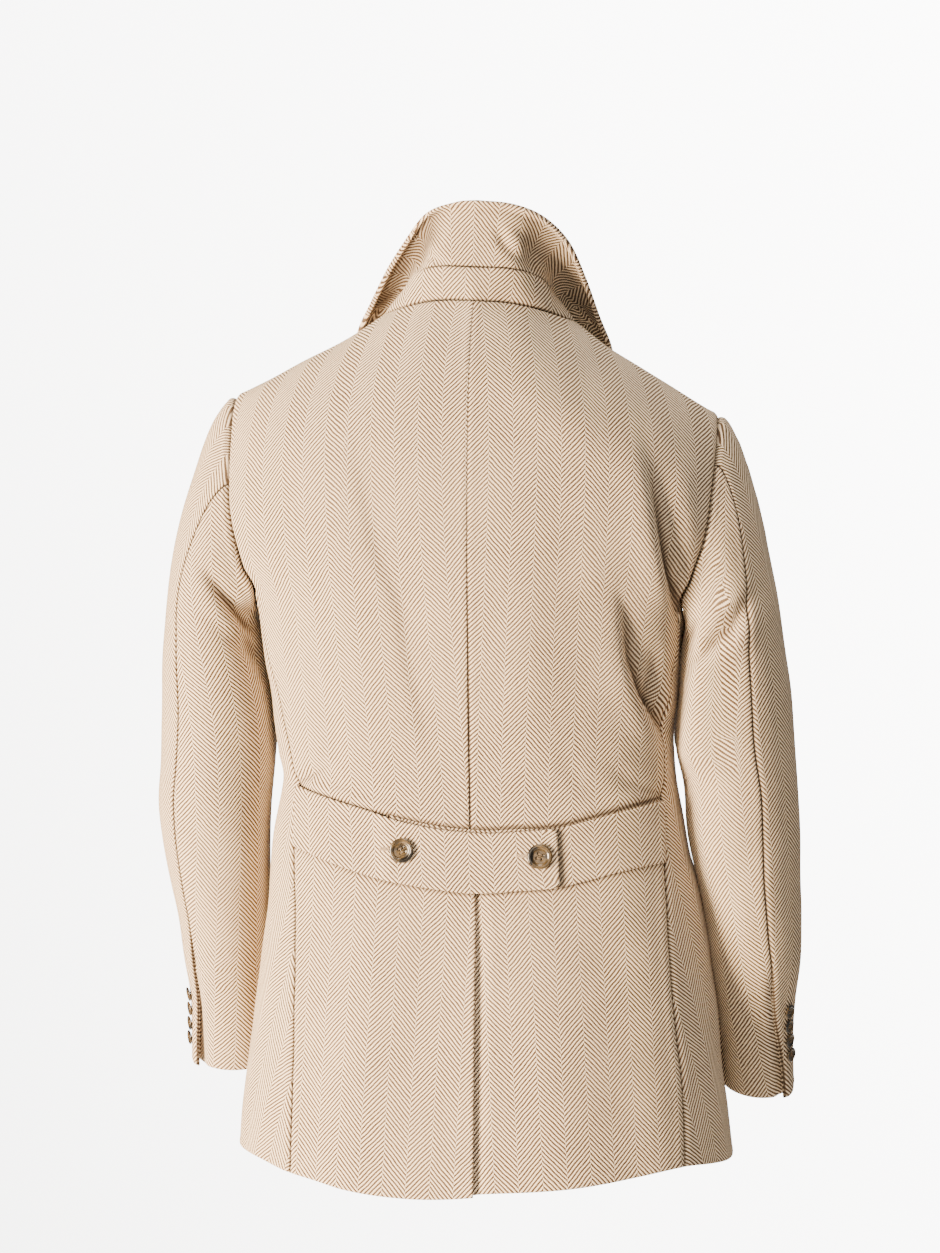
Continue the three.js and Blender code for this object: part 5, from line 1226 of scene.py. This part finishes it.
def collar_piece(name, f, width, rows, depth, edges, grain_line, painted_shade=None):
    u = (2 * stops(width, True, True, 4.0) - 1) * COLLAR_END
    uu, ww = np.meshgrid(u, rows)
    P = both(f, uu, ww)
    du = both(f, uu + 0.004, ww) - both(f, uu - 0.004, ww)
    w0 = np.clip(ww, 0.01, 0.99)
    dw = both(f, uu, w0 + 0.004) - both(f, uu, w0 - 0.004)
    N = unit(np.cross(dw, du))
    OUTWARD[0] = outward_sign(P, N)
    flat = flatten(P, 8.0, 1600)
    mid = int(np.argmin(np.abs(u - grain_line)))
    uv = grain_of(name, P, N, flat, centre=((len(rows) - 1, mid), (0, mid)))
    P = P + N * depth(uu, ww)[..., None]
    return shell(name, P, grid_normals(P, N), CLOTH_COLLAR, edges, uv, WOOL, painted_shade=painted_shade and painted_shade(uu, ww), paler_shade_edges="bt")


def leaf_depth(u, w):
    out = 0 * u
    for cu, cw, ru, rw, d in LEAF_FOLDS:
        out += d * np.exp(-(((u - cu) / ru) ** 2) - (((w - cw) / rw) ** 2))
    return out + crease(LEAF_CREASES, u * 470, w * 84) + ripple(u * 420, w * 90, 21, 60, 0.8)


collar_piece("collar_stand", stand_at, 470, stops(42, True, True, 3.2) * 0.98 + 0.01,
             lambda u, w: 1.6 * np.sin(np.pi * w) + ripple(u * 400, w * 40, 3, 50, 0.5), dict(b="seam", t="seam", l="free", r="free"), 0.035)
collar_piece("collar_leaf", leaf_at, 560, np.concatenate([[0.006], stops(84, True, True, 3.2)[1:]]), leaf_depth, dict(b="seam", t="bead", l="free", r="free"), 0.0, painted_shade=hollow_shade)


# ------------------------------------------------------------------ half belt
UNDER_LIFT, OVER_LIFT = GAP + CLOTH, 2 * (GAP + CLOTH) + 0.2


def belt_point(c, r):
    """place c in columns from the centre seam (+ to the wearer's left), r 0 lower edge .. 1 upper edge; gives phi, z, side"""
    side = np.where(c < 0, -1, 1)
    out = np.zeros(c.shape + (2,))
    for s in (1, -1):
        t = np.abs(c) / BACK_COLS
        lo, mid, hi = (level_line(s, e, t) for e in ("bottom", "waist", "top"))
        a = np.where((r < 0.5)[..., None], lerp(lo, mid, (r * 2)[..., None]), lerp(mid, hi, (r * 2 - 1)[..., None]))
        out = np.where((side == s)[..., None], a, out)
    return out, side


def belt_piece(name, c0, c1, lift, raise_top, edges, corner=None):
    length = abs(c1 - c0) * 19.6
    c = lerp(c0, c1, stops(length, True, True))
    r = stops(57, True, True)
    cc, rr = np.meshgrid(c, r)
    if corner:
        # the free end is cut square with small round corners
        a = np.minimum(rr, 1 - rr) * 57
        inset = np.where(a < corner, corner - np.sqrt(np.maximum(0, corner ** 2 - (corner - a) ** 2)), 0)
        cc = cc + inset / 19.6 * (1 - smooth(0, 1.2, cc - c0))
    q, side = belt_point(cc, rr)
    z = q[..., 1] + raise_top(cc) * rr
    P, N = np.zeros(cc.shape + (3,)), np.zeros(cc.shape + (3,))
    for s in (1, -1):
        on = (side == s)[..., None]
        P = np.where(on, body(q[..., 0], z, s), P)
        N = np.where(on, body_normal(q[..., 0], z, s), N)
    OUTWARD[0] = outward_sign(P, N)
    flat = flatten(P)
    mid = int(np.argmin(np.abs(c - (c0 + c1) / 2)))
    uv = grain_of(name, P, N, flat, centre=((len(r) - 1, mid), (0, mid)))
    d = lift(cc, rr) + body_folds(P) * 0.6 + ripple(P[..., 0], P[..., 2], 14, 55, 0.5)
    # painted shadow on the under piece, along the over piece's top edge and beside its end
    painted_shade = None
    if not corner:
        rise = (rr - 1) * 57 + raise_top(cc) * rr
        painted_shade = np.maximum(0.7 * np.exp(-(((rise - 0.2) / 1.2) ** 2)) * (cc > -4.0), 0.7 * np.exp(-(((cc + 4.16) / 0.17) ** 2)) * (rise < 0))
    P = P + N * d[..., None]
    return shell(name, P, grid_normals(P, N), CLOTH, edges, uv, WOOL, painted_shade=painted_shade)


belt_piece("belt_right", -9.0, 4.0, lambda c, r: UNDER_LIFT + 0 * c, lambda c: 2.6 * smooth(-4.6, -1.6, c), dict(l="seam", r="free", b="free", t="free"))
belt_piece("belt_left", -4.05, 9.0,
           lambda c, r: UNDER_LIFT + (OVER_LIFT - UNDER_LIFT) * (1 - smooth(4.0, 5.0, c)) + 0.5 * (1 - smooth(-4, -2.6, c)) + 0.8 * smooth(6.6, 8.2, c) * smooth(0.5, 1.0, r),
           lambda c: 0 * c, dict(l="free", r="seam", b="free", t="free"), corner=6.0)


# ------------------------------------------------------------------ buttons
def button_mesh(d, name):
    """dished button with a rounded rim and four drilled holes, from rings and a bored middle"""
    r, k = d / 2, d / 23
    prof = [(0, 2.05), (0.30, 2.05), (0.45, 2.08), (0.56, 2.2), (0.63, 2.42), (0.67, 2.75), (0.71, 3.08), (0.76, 3.28), (0.82, 3.36), (0.88, 3.32),
            (0.93, 3.14), (0.97, 2.8), (0.993, 2.4), (1.0, 2.0), (0.985, 1.5), (0.95, 1.05), (0.88, 0.62), (0.80, 0.3), (0.70, 0.12), (0.5, 0.05), (0, 0.0)]
    sides = 72
    co, faces = [], []
    ang = np.linspace(0, 2 * math.pi, sides, endpoint=False)
    start = []
    for i, (a, h) in enumerate(prof):
        start.append(len(co))
        if a == 0:
            co.append((0, 0, h * k))
        else:
            co.extend((a * r * math.cos(t), a * r * math.sin(t), h * k) for t in ang)
    for i in range(len(prof) - 1):
        p, q = start[i], start[i + 1]
        for s in range(sides):
            e = (s + 1) % sides
            if prof[i][0] == 0:
                faces.append((p, q + s, q + e))
            elif prof[i + 1][0] == 0:
                faces.append((p + e, p + s, q))
            else:
                faces.append((p + s, q + s, q + e, p + e))
    me = bpy.data.meshes.new(name)
    me.from_pydata([tuple(c * MM for c in p) for p in co], [], faces)
    me.update()
    ob = bpy.data.objects.new(name, me)
    bpy.context.scene.collection.objects.link(ob)
    cutters = []
    off = d * 0.085
    for sx in (1, -1):
        for sy in (1, -1):
            n = 20
            ring = [(sx * off + d * 0.046 * math.cos(t), sy * off + d * 0.046 * math.sin(t)) for t in np.linspace(0, 2 * math.pi, n, endpoint=False)]
            flare = [(sx * off + d * 0.062 * math.cos(t), sy * off + d * 0.062 * math.sin(t)) for t in np.linspace(0, 2 * math.pi, n, endpoint=False)]
            levels = [(ring, -1.0), (ring, 1.75 * k), (flare, 2.3 * k), (flare, 5.0 * k)]
            vs = [(x * MM, y * MM, z * MM) for pts, z in levels for x, y in pts]
            fs = [tuple(range(n))[::-1], tuple(range(3 * n, 4 * n))]
            for lv in range(3):
                fs += [(lv * n + i, lv * n + (i + 1) % n, (lv + 1) * n + (i + 1) % n, (lv + 1) * n + i) for i in range(n)]
            cm = bpy.data.meshes.new("cut")
            cm.from_pydata(vs, [], fs)
            cm.update()
            co_ = bpy.data.objects.new("cut", cm)
            bpy.context.scene.collection.objects.link(co_)
            mod = ob.modifiers.new("hole", "BOOLEAN")
            mod.operation, mod.object, mod.solver = "DIFFERENCE", co_, "EXACT"
            cutters.append(co_)
    dg = bpy.context.evaluated_depsgraph_get()
    done = bpy.data.meshes.new_from_object(ob.evaluated_get(dg))
    for c in cutters:
        bpy.data.objects.remove(c)
    bpy.data.objects.remove(ob)
    co = np.array([v.co for v in done.vertices])
    done.calc_loop_triangles()
    tri = np.array([t.vertices[:] for t in done.loop_triangles])
    return co / MM, tri


BIG, SMALL = button_mesh(BUTTON_BIG, "big"), button_mesh(BUTTON_SMALL, "small")
THREADS = []


def frame_at(n, turn=0.0):
    """axes of a button: z along its normal, x level"""
    n = unit(np.asarray(n, float))
    up = np.array([0, 0, 1.0])
    x = unit(np.cross(up, n))
    y = np.cross(n, x)
    c, s = math.cos(turn), math.sin(turn)
    return np.stack([x * c + y * s, -x * s + y * c, n])


def strand(points, radius, sides=8):
    """a thread along points, with closed ends; gives places and faces"""
    pts = np.asarray(points, float)
    tang = unit(np.gradient(pts, axis=0))
    ref = np.array([0.31, 0.53, 0.79])
    a = unit(np.cross(tang, ref))
    b = np.cross(tang, a)
    ang = np.linspace(0, 2 * math.pi, sides, endpoint=False)
    taper = np.ones(len(pts))
    ring = pts[:, None] + radius * taper[:, None, None] * (a[:, None] * np.cos(ang)[None, :, None] + b[:, None] * np.sin(ang)[None, :, None])
    co = ring.reshape(-1, 3)
    faces = []
    for i in range(len(pts) - 1):
        for s in range(sides):
            e = (s + 1) % sides
            faces.append((i * sides + s, i * sides + e, (i + 1) * sides + e, (i + 1) * sides + s))
    n = len(co)
    co = np.concatenate([co, pts[:1], pts[-1:]])
    for s in range(sides):
        e = (s + 1) % sides
        faces.append((n, s, e, e)) if False else faces.append((n, e, s, s))
        faces.append((n + 1, (len(pts) - 1) * sides + s, (len(pts) - 1) * sides + e, (len(pts) - 1) * sides + e))
    return co, faces


def tri_faces(faces):
    out = []
    for f in faces:
        if len(set(f)) == 3:
            k = []
            for v in f:
                if v not in k:
                    k.append(v)
            out.append(tuple(k))
        else:
            out.append((f[0], f[1], f[2]))
            out.append((f[0], f[2], f[3]))
    return out


def add_button(name, p, n, lift, mesh, d, patch, seed, turn):
    co, tri = mesh
    R = frame_at(n, turn)
    base = np.asarray(p, float) + unit(np.asarray(n, float)) * lift
    world = base + co @ R
    place = np.stack([co[:, 0] / (d / 2), co[:, 1] / (d / 2), co[:, 2] / (d / 2)], -1)
    # the dark patch is given as seen, so it is turned into the button's own plane
    c, s = math.cos(turn), math.sin(turn)
    own = (patch[0] * c + patch[1] * s, -patch[0] * s + patch[1] * c)
    ob = make(name + "_horn", world * MM, tri, None, horn_material("horn_" + name, own, seed), attribute=place)
    for poly in ob.data.polygons:
        poly.use_smooth = True
    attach(ob, "root")
    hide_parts(name)
    # threads across the holes and down to the cloth
    k, off = d / 23, d * 0.085
    for sy in (1, -1):
        for j in (-1, 1):
            arc = [(-off, 0.0, -1.3), (-off, 0.05, 1.4 * k), (-off * 0.9, 0.1, 2.35 * k), (-off * 0.4, 0.1, 2.75 * k), (off * 0.4, 0.1, 2.75 * k),
                   (off * 0.9, 0.1, 2.35 * k), (off, 0.05, 1.4 * k), (off, 0.0, -1.3)]
            pts = np.array([(x, sy * off + y + j * 0.3 * k, z) for x, y, z in arc])
            THREADS.append(strand(base + pts @ R, 0.28 * k + 0.02, 8))
    return ob


def on_back(x, z, lift):
    s = 1 if x >= float(centre_x(z)) else -1
    phi = phi_of_x(x, z, s)
    p, n = body(phi, z, s), body_normal(phi, z, s)
    return p + n * (lift + 0.6 * body_folds(p)), n


def place(name, p, n, lift, mesh, d, patch, seed, turn):
    add_button(name, p, n, lift, mesh, d, patch, seed, turn)


p, n = on_back(61.5, -497.5, OVER_LIFT)
place("button_belt_left", p, n, 0.7, BIG, BUTTON_BIG, (0.6, -0.75), 1, 0.5)
p, n = on_back(-64.5, -501, OVER_LIFT)
place("button_belt_right", p, n, 0.9, BIG, BUTTON_BIG, (-0.95, 0.1), 2, -0.35)
for i, z in enumerate(FRONT_BUTTON_Z):
    s = float(look(BODY, z, 4))
    phi = phi_of_x(s, z, 1, False)
    p, n = body(phi, z, 1), body_normal(phi, z, 1)
    p = p + n * body_folds(p)
    place("button_front_%d" % (i + 1), p, n, 0.9, BIG, BUTTON_BIG, (math.cos(2.1 * i), math.sin(2.1 * i)), 5 + i, 0.7 * i)
for side in (1, -1):
    A = ARM[side]
    for i, z in enumerate(A["button_z"]):
        lean, up = (0.0, 0.0) if side > 0 else (5.5, 4.0)          # the right cuff is turned a little to the back
        t, a = np.array((z + up - CUFF_TOP) / (A["hem"] - CUFF_TOP)), np.array(float(A["button_angle"] + lean))
        n = sleeve_normal(a, t, side)
        hind = hind_angle(t, side)
        q = sleeve(a, t, side)
        off = FLAP_LIFT * smooth(VENT_SHARE, 1, t) * smooth(hind - 42, hind, a) + sleeve_folds(q[None], n[None], t[None])[0]
        place("button_cuff_%s_%d" % (A["word"], i + 1), q + n * off, n, 1.0, SMALL, BUTTON_SMALL, (math.cos(1.3 + 1.9 * i), math.sin(1.3 + 1.9 * i)), 11 + i + 4 * (side > 0), 0.4 * i)


# ------------------------------------------------------------------ stitches
def satin(path_of, length, width, count, lift, radius=0.32):
    """a worked buttonhole: close stitches round a slit; path_of(x, y) gives place and normal"""
    out = []
    for s in (1, -1):
        for i in range(count):
            x = -length / 2 + length * (i + 0.5) / count
            pts = []
            for t in np.linspace(0, 1, 7):
                y = s * (0.25 + width * t)
                p, n = path_of(x + 0.12 * math.sin(7.0 * i), y)
                pts.append(p + n * (lift + 0.42 * math.sin(math.pi * t)))
            out.append(strand(pts, radius, 6))
    for e in (1, -1):
        for i in range(9):
            a = -math.pi / 2 + math.pi * i / 8
            pts = []
            for t in np.linspace(0, 1, 7):
                rr = 0.25 + width * t
                p, n = path_of(e * (length / 2 + rr * math.cos(a)), rr * math.sin(a))
                pts.append(p + n * (lift + 0.42 * math.sin(math.pi * t)))
            out.append(strand(pts, radius, 6))
    return out


def join(parts):
    co, faces, n = [], [], 0
    for c, f in parts:
        co.append(c)
        faces += [tuple(v + n for v in t) for t in tri_faces(f)]
        n += len(c)
    return np.concatenate(co) * MM, np.array(faces)


def belt_path(x0, z0, lift):
    def at(x, y):
        p, n = on_back(x0 - x, z0 + y, lift)
        return p, n
    return at


HOLES = []
for x0, z0 in ((61.5 + 9.0, -496.5), (-64.5 + 9.5, -500.5)):
    HOLES += satin(belt_path(x0, z0, OVER_LIFT + 0.1), 22.0, 1.3, 30, 0.0, 0.28)
co, faces = join(HOLES)
holes = make("belt_buttonholes", co, faces, None, THREAD)
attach(holes, "root")
co, faces = join(THREADS)
threads = make("button_threads", co, faces, None, DARK_THREAD)
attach(threads, "root")

# ------------------------------------------------------------------ riding, replacing, declaring
for name, facts in PIECES.items():
    ob = facts["object"]
    ob.name = name + "_cloth"
    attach(ob, "root")
    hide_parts(name)
for name, facts in PIECES.items():
    w, l, a = facts["facts"]
    a = min(a, w * l)
    print("CUT %s %.0f x %.0f mm, %.4f m2" % (name, w * 1000, l * 1000, a))

# ------------------------------------------------------------------ floor, backdrop, light, camera
def plain(name, tone, rough=0.9):
    g = Net(name)
    g.bsdf.inputs["Base Color"].default_value = (*tone, 1.0)
    g.bsdf.inputs["Roughness"].default_value = rough
    return g.mat


def stage_plane(name, corners, material):
    me = bpy.data.meshes.new(name)
    me.from_pydata(corners, [], [(0, 1, 2, 3)])
    me.update()
    me.materials.append(material)
    ob = bpy.data.objects.new(name, me)
    bpy.context.scene.collection.objects.link(ob)
    return ob


def backdrop():
    """paper a long way behind the coat that glows by its own emission, with a painted fall-off: a little dimmer low
    down and at the left
    """
    g = Net("glowing_backdrop_paper")
    tex = g.tree.nodes.new("ShaderNodeTexCoord")
    sep = g.tree.nodes.new("ShaderNodeSeparateXYZ")
    g.tree.links.new(tex.outputs["Object"], sep.inputs[0])
    glow = g.m("ADD", 8.9, g.m("ADD", g.m("MULTIPLY", sep.outputs[0], -1.0), g.m("MULTIPLY", sep.outputs[2], 0.5)))
    g.bsdf.inputs["Base Color"].default_value = (0.9, 0.9, 0.9, 1.0)
    g.bsdf.inputs["Emission Color"].default_value = (1.0, 1.0, 1.0, 1.0)
    g.put(g.bsdf.inputs["Emission Strength"], glow)
    return g.mat


BACK = 6.5                    # metres behind the coat
half_w, half_h = 1.75, 2.25
cx = 0.105 * (BACK + 2.7) - 0.275
stage_plane("backdrop", [(cx - half_w, -BACK, -0.29 - half_h), (cx + half_w, -BACK, -0.29 - half_h), (cx + half_w, -BACK, -0.29 + half_h), (cx - half_w, -BACK, -0.29 + half_h)], backdrop())

stage_plane("floor", [(-1.5, -1.5, -1.45), (1.5, -1.5, -1.45), (1.5, 1.4, -1.45), (-1.5, 1.4, -1.45)], plain("floor_paper", (0.8, 0.79, 0.77)))

world = bpy.data.worlds.new("studio")
bpy.context.scene.world = world
world.use_nodes = True
world.node_tree.nodes["Background"].inputs[0].default_value = (1.0, 0.96, 0.91, 1.0)
world.node_tree.nodes["Background"].inputs[1].default_value = 0.23


def area_light(name, place, target, size, power, tone=(1, 1, 1)):
    data = bpy.data.lights.new(name, "AREA")
    data.shape = "RECTANGLE"
    data.size, data.size_y = size
    data.energy = power
    data.color = tone
    ob = bpy.data.objects.new(name, data)
    bpy.context.scene.collection.objects.link(ob)
    ob.location = place
    ob.rotation_euler = (Vector(target) - Vector(place)).to_track_quat("-Z", "Y").to_euler()
    return ob


area_light("key", (2.12, 1.8, -0.6), (0, 0, -0.46), (0.9, 1.5), 515, (1.0, 0.77, 0.53))
area_light("front", (-0.2, 3.2, 0.3), (0, 0, -0.4), (2.0, 2.0), 42, (1.0, 0.87, 0.70))
area_light("top", (-0.1, 0.6, 2.2), (-0.12, 0.0, -0.1), (1.2, 1.2), 84, (1.0, 0.89, 0.75))

TURN = math.radians(6.0)
cam = bpy.data.cameras.new("camera")
cam.lens, cam.sensor_width, cam.sensor_fit = 36 * 2857 / 1253, 36.0, "AUTO"
cam.clip_end = 50
eye = bpy.data.objects.new("camera", cam)
bpy.context.scene.collection.objects.link(eye)
eye.location = (-0.2753, 2.7111, -0.290)
eye.rotation_euler = Vector((math.sin(TURN), -math.cos(TURN), 0)).to_track_quat("-Z", "Y").to_euler()
bpy.context.scene.camera = eye
